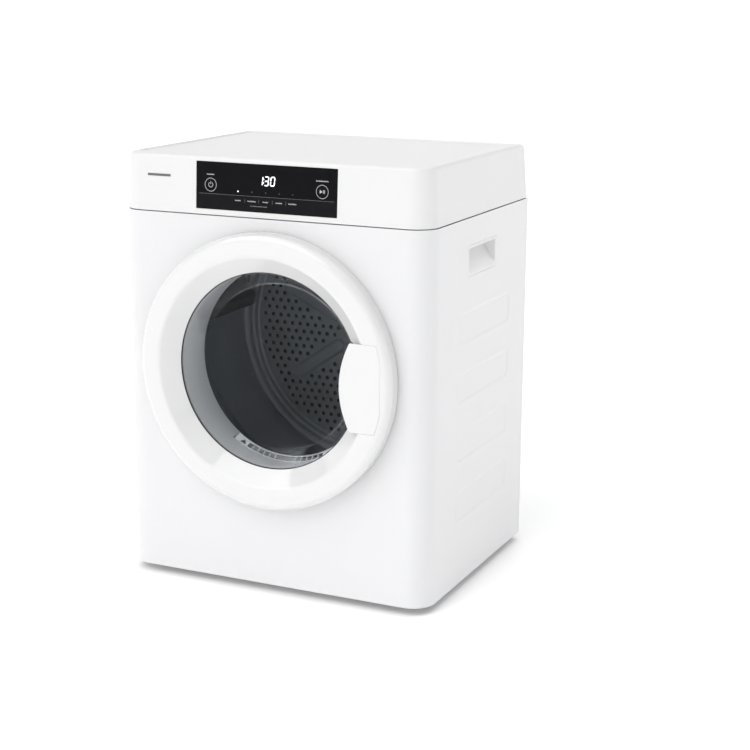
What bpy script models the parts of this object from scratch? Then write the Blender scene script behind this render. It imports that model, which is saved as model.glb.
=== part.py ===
"""Compact front-loading vented tumble dryer.

Metres, +Z up, X to the right as seen from the front, Y from front to back.
The origin is at floor level under the centre of the overall box.
Depths are counted from the cabinet's front face towards the back.
"""

import math

import bmesh
import bpy
from mathutils import Matrix, Vector

# Overall sizes
CABINET_WIDTH = 0.510
CABINET_DEPTH = 0.398
TOTAL_HEIGHT = 0.660
DOOR_PROUD = 0.029
COLLAR_PROUD = 0.018

# Cabinet
FOOT_HEIGHT = 0.012
HEAD_HEIGHT = 0.086
SEAM_GAP = 0.001
CORNER_RADIUS = 0.036
REAR_CORNER_RADIUS = 0.004
SHEET = 0.0012
PLASTIC = 0.0025
TOUCH = 0.0003
BASE_WALL_HEIGHT = 0.028
FOOT_INSET = 0.045
FOOT_PAD_RADIUS = 0.0165
FOOT_STEM_RADIUS = 0.005
REAR_FLANGE = 0.010

# Carrying grips in the sides
GRIP_DEPTH_START = 0.144
GRIP_LENGTH = 0.116
GRIP_HEIGHT = 0.047
GRIP_BELOW_SEAM = 0.041
GRIP_REACH = 0.026
GRIP_BORDER = 0.004

# Control head
HEAD_INSET = 0.001
HEAD_TAPER = 0.0046
HEAD_EDGE_RADIUS = 0.006
TOP_RIM = 0.008
TOP_SINK = 0.002
TOP_FRONT_LEDGE = 0.012
LENS_LEFT = -0.1215
LENS_RIGHT = 0.110
LENS_LOW = 0.009
LENS_HIGH = 0.0785
LENS_THICKNESS = 0.002
LENS_CORNER = 0.001
LENS_LEDGE = 0.005
KEY_RADIUS = 0.010
KEY_STEM_RADIUS = 0.004
KEY_TRAVEL = 0.0008
KEY_HEIGHT = 0.0448
POWER_KEY_X = -0.0972
START_KEY_X = 0.0860
BOARD_DEPTH = 0.0125
BOARD_THICKNESS = 0.0016
PEG_RADIUS = 0.0025
DISPLAY_X = -0.0020
DISPLAY_WIDTH = 0.040
DISPLAY_HEIGHT = 0.018

# Door
DOOR_AXIS_HEIGHT = 0.348
DOOR_RADIUS = 0.2085
WINDOW_RADIUS = 0.149
DOOR_GAP = 0.0008
RING_WALL = 0.0022
RING_EDGE_RADIUS = 0.012
RING_LIP_WIDTH = 0.026
RING_FOOT_DEPTH = 0.0045
RING_FOOT_WIDTH = 0.0045
GLASS = 0.003
GLASS_OVERLAP = 0.0075
BOWL_DEPTH = 0.039
BOWL_DRAFT = 0.018
BOWL_EDGE = 0.006
INNER_RING_SHEET = 0.0028
INNER_TAIL = 0.0016
SEAL_THICKNESS = 0.0023

# Door handle plate
HANDLE_LEFT = 0.1276
HANDLE_LEFT_END = 0.1440
HANDLE_RIGHT = 0.1925
HANDLE_LOW = 0.279
HANDLE_HIGH = 0.410
HANDLE_PLATE = 0.0026
HANDLE_WALL_X = 0.1815

# Door hinge
HINGE_X = 0.1985
HINGE_PROUD = 0.0148
HINGE_PIN_RADIUS = 0.002
HINGE_EYE_RADIUS = 0.0045
HINGE_ARM_OFFSET = 0.030
HINGE_ARM_THICKNESS = 0.003
HINGE_ARM_REACH = 0.024
HINGE_BAR = 0.006
HINGE_SLOT_MARGIN = 0.0012
HINGE_NOTCH_HALF = 0.042
HINGE_CLEAR_RADIUS = 0.0142

# Door latch
LATCH_X = 0.190
LATCH_REACH = 0.014
LATCH_HALF_WIDTH = 0.0015
LATCH_HALF_HEIGHT = 0.005
LATCH_SLOT_MARGIN = 0.004

# Throat and front bulkhead
THROAT_MARGIN = 0.002
THROAT_WALL = 0.002
THROAT_FLANGE = 0.021
BULKHEAD_DEPTH = 0.0525
BULKHEAD_SHEET = 0.002
THROAT_TAIL = 0.012
PANEL_OPENING_MARGIN = 0.011
BULKHEAD_SIDE_GAP = 0.0013

# Lint filter and its duct
FILTER_HALF_ANGLE = 35.0
FILTER_THICKNESS = 0.011
FILTER_DROP = 0.008
FILTER_HALF_WIDTH = 0.070
FILTER_BOTTOM = 0.140
FILTER_MARGIN = 0.0018
DUCT_WALL = 0.0018
DUCT_FRONT_DEPTH = 0.008
GRILLE_SLOTS = 5
GRILLE_PITCH = 5.0
GRILLE_SLOT = 0.0065
GRILLE_BORDER = 0.003
GRILLE_WIDE_SLOT = 0.018

# Drum
DRUM_RADIUS = 0.2225
DRUM_SHEET = 0.001
DRUM_END_GAP = 0.0022
DRUM_MOUTH_MARGIN = 0.0025
DRUM_LIP = 0.008
DRUM_CORNER = 0.006
REAR_SPACE = 0.0745
DRUM_BACK_SINK = 0.0035
DRUM_BACK_RIM = 0.006
BACK_HOLE_RADIUS = 0.006
BACK_HOLE_CIRCLES = ((0.085, 9), (0.125, 15))
LIFTER_COUNT = 3
LIFTER_FIRST_ANGLE = 165.0
LIFTER_BASE = 0.060
LIFTER_TOP = 0.026
LIFTER_HEIGHT = 0.045
LIFTER_END_GAP = 0.024
LIFTER_RAMP = 0.022

# Drum shaft and bearing
SHAFT_RADIUS = 0.010
SHAFT_FLANGE_RADIUS = 0.050
SHAFT_FLANGE = 0.004
SHAFT_LENGTH = 0.038
BEARING_RADIUS = 0.020
BEARING_WIDTH = 0.0138
HOUSING_RADIUS = 0.026
HOUSING_FLANGE_RADIUS = 0.045
REAR_BULKHEAD_GAP = 0.020
PLENUM_RADIUS = 0.2095
RUNNING_GAP = 0.0004

# Drum rollers
ROLLER_RADIUS = 0.018
ROLLER_WIDTH = 0.012
ROLLER_ANGLE = 50.0
ROLLER_BORE = 0.0045
AXLE_RADIUS = 0.004
ROLLER_GAP = 0.0006

# Motor, blower and belt
MOTOR_X = 0.150
MOTOR_HEIGHT = 0.090
MOTOR_RADIUS = 0.046
MOTOR_LENGTH = 0.082
ROTOR_RADIUS = 0.004
PULLEY_RADIUS = 0.0075
PULLEY_FLANGE = 0.0015
PULLEY_WIDTH = 0.012
PULLEY_OFFSET = 0.038
BELT_WIDTH = 0.008
BELT_THICKNESS = 0.0016
BELT_GAP = 0.0009
BLOWER_LENGTH = 0.0382
BLOWER_WHEEL_RADIUS = 0.055
BLOWER_WHEEL_WIDTH = 0.030
BLADE_ROOT = 0.7  # share of the wheel's radius
BLOWER_BLADES = 18
BLOWER_EYE_RADIUS = 0.036
BLOWER_CASE_RADIUS = 0.060
BLOWER_CASE_GROWTH = 0.011
BLOWER_OUTLET_X = 0.082
MOTOR_BLOWER_GAP = 0.0045
BRACKET_SHEET = 0.003

# Idler
IDLER_X = 0.088
IDLER_HEIGHT = 0.0885
IDLER_RADIUS = 0.018
IDLER_PIVOT_X = 0.060
IDLER_PIVOT_HEIGHT = 0.045
IDLER_TAIL_X = 0.034
IDLER_ARM_WAIST = 0.8  # share of the arm's end radius
IDLER_ARM_SHEET = 0.003
SPRING_RADIUS = 0.0045
SPRING_WIRE = 0.0008
SPRING_TURNS = 5

# Exhaust and heater
EXHAUST_X = -0.130
EXHAUST_HEIGHT = 0.100
EXHAUST_RADIUS = 0.0475
COLLAR_RADIUS = 0.049
COLLAR_FLANGE_RADIUS = 0.058
DUCT_BEND = 0.055
HEATER_LOW = (0.058, 0.330)
HEATER_HIGH = (0.190, 0.500)
HEATER_FINS = 10
GLAND_X = 0.205
GLAND_HEIGHT = 0.110
GLAND_RADIUS = 0.008
GLAND_PROUD = 0.006

# Fineness of round shapes
DRUM_SEGMENTS = 48
RING_SEGMENTS = 36
SMALL_SEGMENTS = 12
ARC_STEPS = 3
SMOOTH_ANGLE = math.radians(32)
MERGE = 1e-6
OVERRUN = 0.004

# Places that follow from the sizes above
HALF_WIDTH = CABINET_WIDTH / 2
FRONT_Y = (DOOR_PROUD - CABINET_DEPTH - COLLAR_PROUD) / 2
REAR_Y = FRONT_Y + CABINET_DEPTH
SEAM_HEIGHT = TOTAL_HEIGHT - HEAD_HEIGHT
CABINET_TOP = SEAM_HEIGHT - SEAM_GAP / 2
BASE_TOP = FOOT_HEIGHT + BASE_WALL_HEIGHT
BASE_FLOOR = FOOT_HEIGHT + PLASTIC
INSIDE = HALF_WIDTH - SHEET - TOUCH
DOOR_CENTRE = Vector((0, FRONT_Y, DOOR_AXIS_HEIGHT))
THROAT_RADIUS = WINDOW_RADIUS + THROAT_MARGIN
THROAT_OUTER = THROAT_RADIUS + THROAT_WALL
PANEL_OPENING = WINDOW_RADIUS + PANEL_OPENING_MARGIN
BULKHEAD_REAR = BULKHEAD_DEPTH + BULKHEAD_SHEET
DRUM_FRONT = BULKHEAD_REAR + DRUM_END_GAP
DRUM_REAR = CABINET_DEPTH - REAR_SPACE
DRUM_MOUTH = THROAT_OUTER + DRUM_MOUTH_MARGIN
DRUM_BACK_FACE = DRUM_REAR - DRUM_BACK_SINK
REAR_BULKHEAD = DRUM_REAR + REAR_BULKHEAD_GAP
HINGE_AXIS = Vector((-HINGE_X, FRONT_Y - HINGE_PROUD, DOOR_AXIS_HEIGHT))
MOTOR_AXIS = Vector((MOTOR_X, FRONT_Y, MOTOR_HEIGHT))
BLOWER_FRONT = BULKHEAD_REAR + TOUCH
BLOWER_REAR = BLOWER_FRONT + BLOWER_LENGTH
MOTOR_FRONT = BLOWER_REAR + MOTOR_BLOWER_GAP
MOTOR_REAR = MOTOR_FRONT + MOTOR_LENGTH
BELT_DEPTH = MOTOR_REAR + PULLEY_OFFSET + PULLEY_WIDTH / 2
HEAD_TILT = math.atan(HEAD_TAPER / HEAD_HEIGHT)

WHITE_PAINT = ((0.86, 0.86, 0.86), 0.38, 0.0)
WHITE_PLASTIC = ((0.88, 0.88, 0.88), 0.30, 0.0)
GLOSS_WHITE = ((0.90, 0.90, 0.90), 0.12, 0.0)
GLOSS_BLACK = ((0.006, 0.006, 0.007), 0.06, 0.0)
LIGHT_GREY = ((0.56, 0.58, 0.60), 0.40, 0.0)
DARK_PLASTIC = ((0.05, 0.05, 0.055), 0.50, 0.0)
RUBBER = ((0.03, 0.03, 0.03), 0.80, 0.0)
FELT = ((0.35, 0.34, 0.32), 0.95, 0.0)
CLEAR_GLASS = ((0.75, 0.80, 0.82), 0.03, 0.0)
DRUM_STEEL = ((0.30, 0.31, 0.33), 0.35, 0.8)
ZINC_STEEL = ((0.60, 0.61, 0.62), 0.40, 1.0)
BOARD_GREEN = ((0.03, 0.16, 0.06), 0.50, 0.0)
FILTER_CLOTH = ((0.70, 0.70, 0.68), 0.80, 0.0)


def clear_scene():
    for obj in list(bpy.data.objects):
        bpy.data.objects.remove(obj, do_unlink=True)


def finish_material(name, finish):
    """A Principled BSDF with the part's colour, roughness and metallic value."""
    colour, roughness, metallic = finish
    made = bpy.data.materials.new(name + "_finish")
    made.use_nodes = True
    shader = made.node_tree.nodes["Principled BSDF"]
    shader.inputs["Base Color"].default_value = (*colour, 1)
    shader.inputs["Roughness"].default_value = roughness
    shader.inputs["Metallic"].default_value = metallic
    return made


def mesh_object(name, shape, origin):
    """Turns a bmesh in world coordinates into an object with its origin at the point given."""
    bmesh.ops.recalc_face_normals(shape, faces=shape.faces)
    shape.transform(Matrix.Translation(-origin))
    mesh = bpy.data.meshes.new(name)
    shape.to_mesh(mesh)
    shape.free()
    mesh.shade_smooth()
    mesh.set_sharp_from_angle(angle=SMOOTH_ANGLE)
    obj = bpy.data.objects.new(name, mesh)
    bpy.context.scene.collection.objects.link(obj)
    return obj


def middle(shape):
    """The centre of the bmesh's own box."""
    places = [vert.co for vert in shape.verts]
    low = Vector(min(place[k] for place in places) for k in range(3))
    high = Vector(max(place[k] for place in places) for k in range(3))
    return (low + high) / 2


def part(name, shape, finish, pivot=None):
    """One sub-part. A moving one is parented to the empty on its joint's axis."""
    origin = pivot.matrix_world.translation.copy() if pivot else middle(shape)
    obj = mesh_object(name, shape, origin)
    obj.data.materials.append(finish_material(name, finish))
    obj["origin"] = origin
    if pivot:
        obj.parent = pivot
    else:
        obj.location = origin
    return obj


def combine(obj, operation, shape):
    """Cuts the shape out of the object, or joins it on, with a Boolean that stays on the object."""
    count = len(obj.modifiers) + 1
    tool = mesh_object(f"{obj.name}_tool_{count}", shape, Vector(obj["origin"]))
    tool.hide_render = True
    tool.display_type = "WIRE"
    tool.parent = obj
    modifier = obj.modifiers.new(f"{operation.lower()}_{count}", "BOOLEAN")
    modifier.operation = operation
    modifier.solver = "EXACT"
    modifier.object = tool


def cut(obj, *shapes):
    for shape in shapes:
        combine(obj, "DIFFERENCE", shape)


def join(obj, *shapes):
    for shape in shapes:
        combine(obj, "UNION", shape)


def pivot_at(name, place):
    empty = bpy.data.objects.new(name, None)
    empty.empty_display_size = 0.03
    empty.location = place
    bpy.context.scene.collection.objects.link(empty)
    bpy.context.view_layer.update()
    return empty


def together(shapes):
    """Several separate shapes as one bmesh, for use as one Boolean tool."""
    whole = bmesh.new()
    for shape in shapes:
        mesh = bpy.data.meshes.new("piece")
        shape.to_mesh(mesh)
        shape.free()
        whole.from_mesh(mesh)
        bpy.data.meshes.remove(mesh)
    return whole


def turned(profile, segments, centre, axis="Y"):
    """Spins a profile of (radius, station) points about an axis through the centre."""
    shape = bmesh.new()
    if axis == "Y":
        verts = [shape.verts.new((radius, station, 0)) for radius, station in profile]
    else:
        verts = [shape.verts.new((radius, 0, station)) for radius, station in profile]
    edges = [shape.edges.new(pair) for pair in zip(verts, verts[1:])]
    if profile[0][0] > MERGE or profile[-1][0] > MERGE:
        edges.append(shape.edges.new((verts[-1], verts[0])))
    around = (0, 1, 0) if axis == "Y" else (0, 0, 1)
    bmesh.ops.spin(
        shape,
        geom=verts + edges,
        cent=(0, 0, 0),
        axis=around,
        angle=math.tau,
        steps=segments,
    )
    bmesh.ops.remove_doubles(shape, verts=shape.verts, dist=MERGE)
    shape.transform(Matrix.Translation(centre))
    return shape


def prism(outline, low, high, axis):
    """Extrudes a closed 2-D outline between two stations along an axis."""
    place = {
        "X": lambda point: (low, point[0], point[1]),
        "Y": lambda point: (point[0], low, point[1]),
        "Z": lambda point: (point[0], point[1], low),
    }[axis]
    shape = bmesh.new()
    face = shape.faces.new([shape.verts.new(place(point)) for point in outline])
    grown = bmesh.ops.extrude_face_region(shape, geom=[face])
    moved = [item for item in grown["geom"] if isinstance(item, bmesh.types.BMVert)]
    step = Vector([high - low if letter == axis else 0 for letter in "XYZ"])
    bmesh.ops.translate(shape, verts=moved, vec=step)
    return shape


def block(low, high):
    low, high = Vector(low), Vector(high)
    shape = bmesh.new()
    bmesh.ops.create_cube(
        shape, size=1, matrix=Matrix.LocRotScale((low + high) / 2, None, high - low)
    )
    return shape


def rod(radius, low, high, centre, segments=SMALL_SEGMENTS, axis="Y"):
    return turned([(0, low), (radius, low), (radius, high), (0, high)], segments, centre, axis)


def loft(rings):
    """A closed solid through rings of equal point counts, capped at both ends."""
    shape = bmesh.new()
    loops = [[shape.verts.new(place) for place in ring] for ring in rings]
    for first, second in zip(loops, loops[1:]):
        for k in range(len(first)):
            n = (k + 1) % len(first)
            shape.faces.new((first[k], first[n], second[n], second[k]))
    shape.faces.new(loops[0])
    shape.faces.new(loops[-1])
    return shape


def closed_loft(rings):
    """A ring-like solid whose last cross-section joins its first."""
    shape = bmesh.new()
    loops = [[shape.verts.new(place) for place in ring] for ring in rings]
    for first, second in zip(loops, loops[1:] + loops[:1]):
        for k in range(len(first)):
            n = (k + 1) % len(first)
            shape.faces.new((first[k], first[n], second[n], second[k]))
    return shape


def rounded(corners, steps=ARC_STEPS):
    """A closed outline through the corners (x, y, radius), each one rounded by its radius."""
    points = []
    for k, (x, y, radius) in enumerate(corners):
        here = Vector((x, y))
        if radius <= 0:
            points.append(here)
            continue
        before = (Vector(corners[k - 1][:2]) - here).normalized()
        after = (Vector(corners[(k + 1) % len(corners)][:2]) - here).normalized()
        half = before.angle(after) / 2
        centre = here + (before + after).normalized() * radius / math.sin(half)
        start = here + before * radius / math.tan(half) - centre
        turn = (math.pi - 2 * half) * (1 if before.cross(after) < 0 else -1)
        for step in range(steps + 1):
            points.append(centre + Matrix.Rotation(turn * step / steps, 2) @ start)
    return points


def rectangle(left, right, low, high, radius=0.0, steps=ARC_STEPS):
    corners = [(left, low), (right, low), (right, high), (left, high)]
    return rounded([(x, y, radius) for x, y in corners], steps)


def plan_outline(inset, rear_inset, corner=CORNER_RADIUS):
    """The cabinet's outline from above, drawn in by an inset."""
    wide, rear, front = HALF_WIDTH - inset, REAR_Y - rear_inset, FRONT_Y + inset
    radius = max(corner - inset, REAR_CORNER_RADIUS)
    return rounded(
        [
            (-wide, rear, REAR_CORNER_RADIUS),
            (-wide, front, radius),
            (wide, front, radius),
            (wide, rear, REAR_CORNER_RADIUS),
        ],
        2 * ARC_STEPS,
    )


def base_pan():
    outline = plan_outline(SHEET + TOUCH, 0)
    obj = part("base_pan", prism(outline, FOOT_HEIGHT, BASE_TOP, "Z"), DARK_PLASTIC)
    cut(obj, prism(plan_outline(SHEET + TOUCH + PLASTIC, PLASTIC), BASE_FLOOR, BASE_TOP + OVERRUN, "Z"))
    for corner in foot_places():
        cut(obj, rod(FOOT_STEM_RADIUS + TOUCH, 0, BASE_TOP, corner[1], axis="Z"))
    return obj


def foot_places():
    for side, x in (("left", FOOT_INSET - HALF_WIDTH), ("right", HALF_WIDTH - FOOT_INSET)):
        for end, y in (("front", FRONT_Y + FOOT_INSET), ("rear", REAR_Y - FOOT_INSET)):
            yield f"foot_{end}_{side}", Vector((x, y, 0))


def feet():
    """Rubber feet, each pulled through a hole in the pan and held by a barb."""
    pad_top = FOOT_HEIGHT - TOUCH
    barb = BASE_FLOOR + TOUCH
    profile = [
        (0, 0),
        (FOOT_PAD_RADIUS - 0.0015, 0),
        (FOOT_PAD_RADIUS, 0.003),
        (FOOT_PAD_RADIUS, pad_top),
        (FOOT_STEM_RADIUS, pad_top),
        (FOOT_STEM_RADIUS, barb),
        (FOOT_STEM_RADIUS + 0.002, barb),
        (FOOT_STEM_RADIUS - 0.001, barb + 0.005),
        (0, barb + 0.005),
    ]
    for name, place in foot_places():
        part(name, turned(profile, SMALL_SEGMENTS, place, "Z"), RUBBER)


def grip_box(margin):
    """(low, high) of Y and Z of a grip's hole, grown by a margin."""
    start = FRONT_Y + GRIP_DEPTH_START - margin
    top = SEAM_HEIGHT - GRIP_BELOW_SEAM + margin
    return start, start + GRIP_LENGTH + 2 * margin, top - GRIP_HEIGHT - 2 * margin, top


def cabinet_shell():
    wide, inner = HALF_WIDTH, HALF_WIDTH - SHEET
    outline = rounded(
        [
            (-wide, REAR_Y, 0),
            (-wide, FRONT_Y, CORNER_RADIUS),
            (wide, FRONT_Y, CORNER_RADIUS),
            (wide, REAR_Y, 0),
            (inner, REAR_Y, 0),
            (inner, FRONT_Y + SHEET, CORNER_RADIUS - SHEET),
            (-inner, FRONT_Y + SHEET, CORNER_RADIUS - SHEET),
            (-inner, REAR_Y, 0),
        ],
        2 * ARC_STEPS,
    )
    obj = part("cabinet_shell", prism(outline, FOOT_HEIGHT, CABINET_TOP, "Z"), WHITE_PAINT)
    cut(obj, rod(PANEL_OPENING, -OVERRUN, OVERRUN, DOOR_CENTRE, RING_SEGMENTS))
    for side in (-1, 1):
        start, end, low, high = grip_box(0)
        reach = sorted((side * (wide + OVERRUN), side * (inner - OVERRUN)))
        cut(obj, block((reach[0], start, low), (reach[1], end, high)))
    slots = [hinge_slot(sign) for sign in (-1, 1)]
    half_width = LATCH_HALF_WIDTH + LATCH_SLOT_MARGIN
    half_height = LATCH_HALF_HEIGHT + LATCH_SLOT_MARGIN / 2
    slots.append(
        block(
            (LATCH_X - half_width, FRONT_Y - OVERRUN, DOOR_AXIS_HEIGHT - half_height),
            (LATCH_X + half_width, FRONT_Y + OVERRUN, DOOR_AXIS_HEIGHT + half_height),
        )
    )
    cut(obj, together(slots))
    return obj


def hinge_slot(sign):
    """The slot in the front panel that one hinge arm passes through."""
    right = -HINGE_X + HINGE_ARM_REACH
    height = DOOR_AXIS_HEIGHT + sign * HINGE_ARM_OFFSET
    half = HINGE_ARM_THICKNESS / 2 + HINGE_SLOT_MARGIN
    return block(
        (right - HINGE_BAR - HINGE_SLOT_MARGIN, FRONT_Y - OVERRUN, height - half),
        (right + HINGE_SLOT_MARGIN, FRONT_Y + OVERRUN, height + half),
    )


def side_grips():
    """Moulded cups, deepest under the top lip, that sit flush in the side panels."""
    for name, side in (("side_grip_left", -1), ("side_grip_right", 1)):
        start, end, low, high = grip_box(-TOUCH)
        plug = rectangle(start, end, low, high)
        start, end, low, high = grip_box(GRIP_BORDER)
        body = rectangle(start, end, low, high)
        rings = []
        for x, outline in (
            (HALF_WIDTH, plug),
            (INSIDE, plug),
            (INSIDE, body),
            (HALF_WIDTH - GRIP_REACH, body),
        ):
            rings.append([(side * x, y, z) for y, z in outline])
        obj = part(name, loft(rings), WHITE_PLASTIC)
        start, end, low, high = grip_box(-GRIP_BORDER)
        deep = HALF_WIDTH - GRIP_REACH + 2 * PLASTIC
        scoop = [
            (side * (HALF_WIDTH + OVERRUN), low),
            (side * (HALF_WIDTH + OVERRUN), high),
            (side * (HALF_WIDTH - 2 * PLASTIC), high),
            (side * (HALF_WIDTH - 3 * PLASTIC), high + GRIP_BORDER),
            (side * deep, high + GRIP_BORDER),
            (side * deep, high - 2 * GRIP_BORDER),
            (side * (HALF_WIDTH - PLASTIC), low + GRIP_BORDER / 2),
            (side * HALF_WIDTH, low),
        ]
        cut(obj, prism(scoop, start, end, "Y"))


def exhaust_centre(depth):
    return Vector((EXHAUST_X, FRONT_Y + depth, EXHAUST_HEIGHT))


def rear_panel():
    back, inner = REAR_Y, REAR_Y - SHEET
    outline = [
        (-INSIDE, back),
        (INSIDE, back),
        (INSIDE, back - REAR_FLANGE),
        (INSIDE - SHEET, back - REAR_FLANGE),
        (INSIDE - SHEET, inner),
        (SHEET - INSIDE, inner),
        (SHEET - INSIDE, back - REAR_FLANGE),
        (-INSIDE, back - REAR_FLANGE),
    ]
    obj = part("rear_panel", prism(outline, BASE_TOP + TOUCH, CABINET_TOP, "Z"), ZINC_STEEL)
    rear = Vector((EXHAUST_X, REAR_Y, EXHAUST_HEIGHT))
    cut(obj, rod(COLLAR_RADIUS + TOUCH, -OVERRUN, OVERRUN, rear, RING_SEGMENTS))
    gland = Vector((GLAND_X, REAR_Y, GLAND_HEIGHT))
    cut(obj, rod(GLAND_RADIUS + TOUCH, -OVERRUN, OVERRUN, gland))
    cut(obj, together(louvres(REAR_Y)))
    return obj


def louvres(station):
    """Air inlet slots level with the heater."""
    count = 5
    left, low = HEATER_LOW
    right, high = HEATER_HIGH
    pitch = (high - low) / (count + 1)
    return [
        block(
            (left + 0.015, station - OVERRUN, low + pitch * (k + 1) - 0.004),
            (right - 0.015, station + OVERRUN, low + pitch * (k + 1) + 0.004),
        )
        for k in range(count)
    ]


def head_inset(height):
    """How far the tapering head stands in from the cabinet's outline at a height."""
    return HEAD_INSET + HEAD_TAPER * (height - SEAM_HEIGHT) / HEAD_HEIGHT


def top_cover():
    bottom = SEAM_HEIGHT + SEAM_GAP / 2
    levels = [(bottom, head_inset(bottom))]
    for step in range(ARC_STEPS + 1):
        angle = math.pi / 2 * step / ARC_STEPS
        height = TOTAL_HEIGHT - HEAD_EDGE_RADIUS * (1 - math.sin(angle))
        levels.append((height, head_inset(height) + HEAD_EDGE_RADIUS * (1 - math.cos(angle))))
    rings = [[(x, y, z) for x, y in plan_outline(inset, inset)] for z, inset in levels]
    obj = part("top_cover", loft(rings), WHITE_PLASTIC)
    ceiling = TOTAL_HEIGHT - TOP_SINK - PLASTIC
    hollow = []
    for height in (bottom - OVERRUN, ceiling - HEAD_EDGE_RADIUS, ceiling):
        inset = head_inset(height) + PLASTIC + max(0, height - ceiling + HEAD_EDGE_RADIUS)
        hollow.append([(x, y, height) for x, y in plan_outline(inset, inset)])
    cut(obj, loft(hollow))
    inset = head_inset(TOTAL_HEIGHT) + HEAD_EDGE_RADIUS + TOP_RIM / 2
    sunk = rectangle(
        inset - HALF_WIDTH,
        HALF_WIDTH - inset,
        FRONT_Y + inset + TOP_FRONT_LEDGE,
        REAR_Y - inset,
        TOP_RIM,
    )
    cut(obj, prism(sunk, TOTAL_HEIGHT - TOP_SINK, TOTAL_HEIGHT + OVERRUN, "Z"))
    cut(obj, lens_block(TOUCH, -OVERRUN, LENS_THICKNESS + TOUCH))
    cut(obj, lens_block(-LENS_LEDGE, 0, 3 * PLASTIC))
    return obj


def on_head(shape):
    """Moves a shape from the control face's own frame onto the tilted front of the head."""
    seat = Matrix.Translation((0, FRONT_Y + HEAD_INSET, SEAM_HEIGHT))
    shape.transform(seat @ Matrix.Rotation(-HEAD_TILT, 4, "X"))
    return shape


def lens_block(margin, front, back):
    outline = rectangle(
        LENS_LEFT - margin,
        LENS_RIGHT + margin,
        LENS_LOW - margin,
        LENS_HIGH + margin,
        LENS_CORNER,
        1,
    )
    return on_head(prism(outline, front, back, "Y"))


def key_place(x):
    return Vector((x, 0, KEY_HEIGHT))


def control_group():
    lens = part("control_lens", lens_block(0, 0, LENS_THICKNESS), GLOSS_BLACK)
    for x in (POWER_KEY_X, START_KEY_X):
        cut(lens, on_head(rod(KEY_RADIUS + TOUCH, -OVERRUN, OVERRUN, key_place(x))))
    inset = 2 * LENS_LEDGE
    corners = [
        Vector((x, 0, z))
        for x in (LENS_LEFT + inset, LENS_RIGHT - inset)
        for z in (LENS_LOW + inset, LENS_HIGH - inset)
    ]
    pegs = [rod(PEG_RADIUS, LENS_THICKNESS / 2, BOARD_DEPTH - TOUCH, place) for place in corners]
    join(lens, on_head(together(pegs)))

    board = prism(
        rectangle(
            LENS_LEFT + LENS_LEDGE,
            LENS_RIGHT - LENS_LEDGE,
            LENS_LOW + LENS_LEDGE,
            LENS_HIGH - LENS_LEDGE,
        ),
        BOARD_DEPTH,
        BOARD_DEPTH + BOARD_THICKNESS,
        "Y",
    )
    carrier = part("control_board", on_head(board), BOARD_GREEN)
    display = block(
        (DISPLAY_X - DISPLAY_WIDTH / 2, LENS_THICKNESS + TOUCH, KEY_HEIGHT),
        (DISPLAY_X + DISPLAY_WIDTH / 2, BOARD_DEPTH + BOARD_THICKNESS / 2, KEY_HEIGHT + DISPLAY_HEIGHT),
    )
    join(carrier, on_head(display))

    stem_end = BOARD_DEPTH - TOUCH - KEY_TRAVEL
    for name, x in (("power_key", POWER_KEY_X), ("start_key", START_KEY_X)):
        seat = on_head(rod(KEY_RADIUS, 0, LENS_THICKNESS, key_place(x)))
        pivot = pivot_at(name + "_axis", middle(seat))
        key = part(name, seat, GLOSS_BLACK, pivot)
        join(key, on_head(rod(KEY_STEM_RADIUS, LENS_THICKNESS / 2, stem_end, key_place(x))))


def ring_profile():
    """The door ring's section as (radius, depth): dish, lip, crown and rolled outer edge."""
    inner = WINDOW_RADIUS
    lip = inner + RING_LIP_WIDTH
    foot = -RING_FOOT_DEPTH
    crown = -DOOR_PROUD
    wall = RING_WALL
    outer = DOOR_RADIUS
    back = -DOOR_GAP
    return rounded(
        [
            (inner, foot, 0),
            (inner, foot - wall, 0),
            (lip, crown, RING_EDGE_RADIUS / 2),
            (outer, crown, RING_EDGE_RADIUS),
            (outer, back, 0),
            (outer - wall, back, 0),
            (outer - wall, crown + wall, RING_EDGE_RADIUS - wall),
            (lip + wall / 2, crown + wall, RING_EDGE_RADIUS / 2 - wall),
            (inner + RING_FOOT_WIDTH, foot, 0),
        ],
        3,
    )


def handle_outline(margin=0.0):
    """The handle plate from the front: a bowed left edge and a right edge along the crown."""
    low, high = HANDLE_LOW - margin, HANDLE_HIGH + margin
    bow = HANDLE_LEFT_END - HANDLE_LEFT
    points = []
    steps = 3 * ARC_STEPS
    for step in range(steps + 1):
        share = step / steps
        along = 2 * share - 1
        x = HANDLE_LEFT + bow * along * along - margin
        points.append((x, high + (low - high) * share))
    edge = DOOR_RADIUS - RING_EDGE_RADIUS - TOUCH + margin
    for step in range(steps + 1):
        z = low + (high - low) * step / steps
        points.append((min(math.sqrt(edge**2 - (z - DOOR_AXIS_HEIGHT) ** 2), HANDLE_RIGHT + margin), z))
    return points


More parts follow.
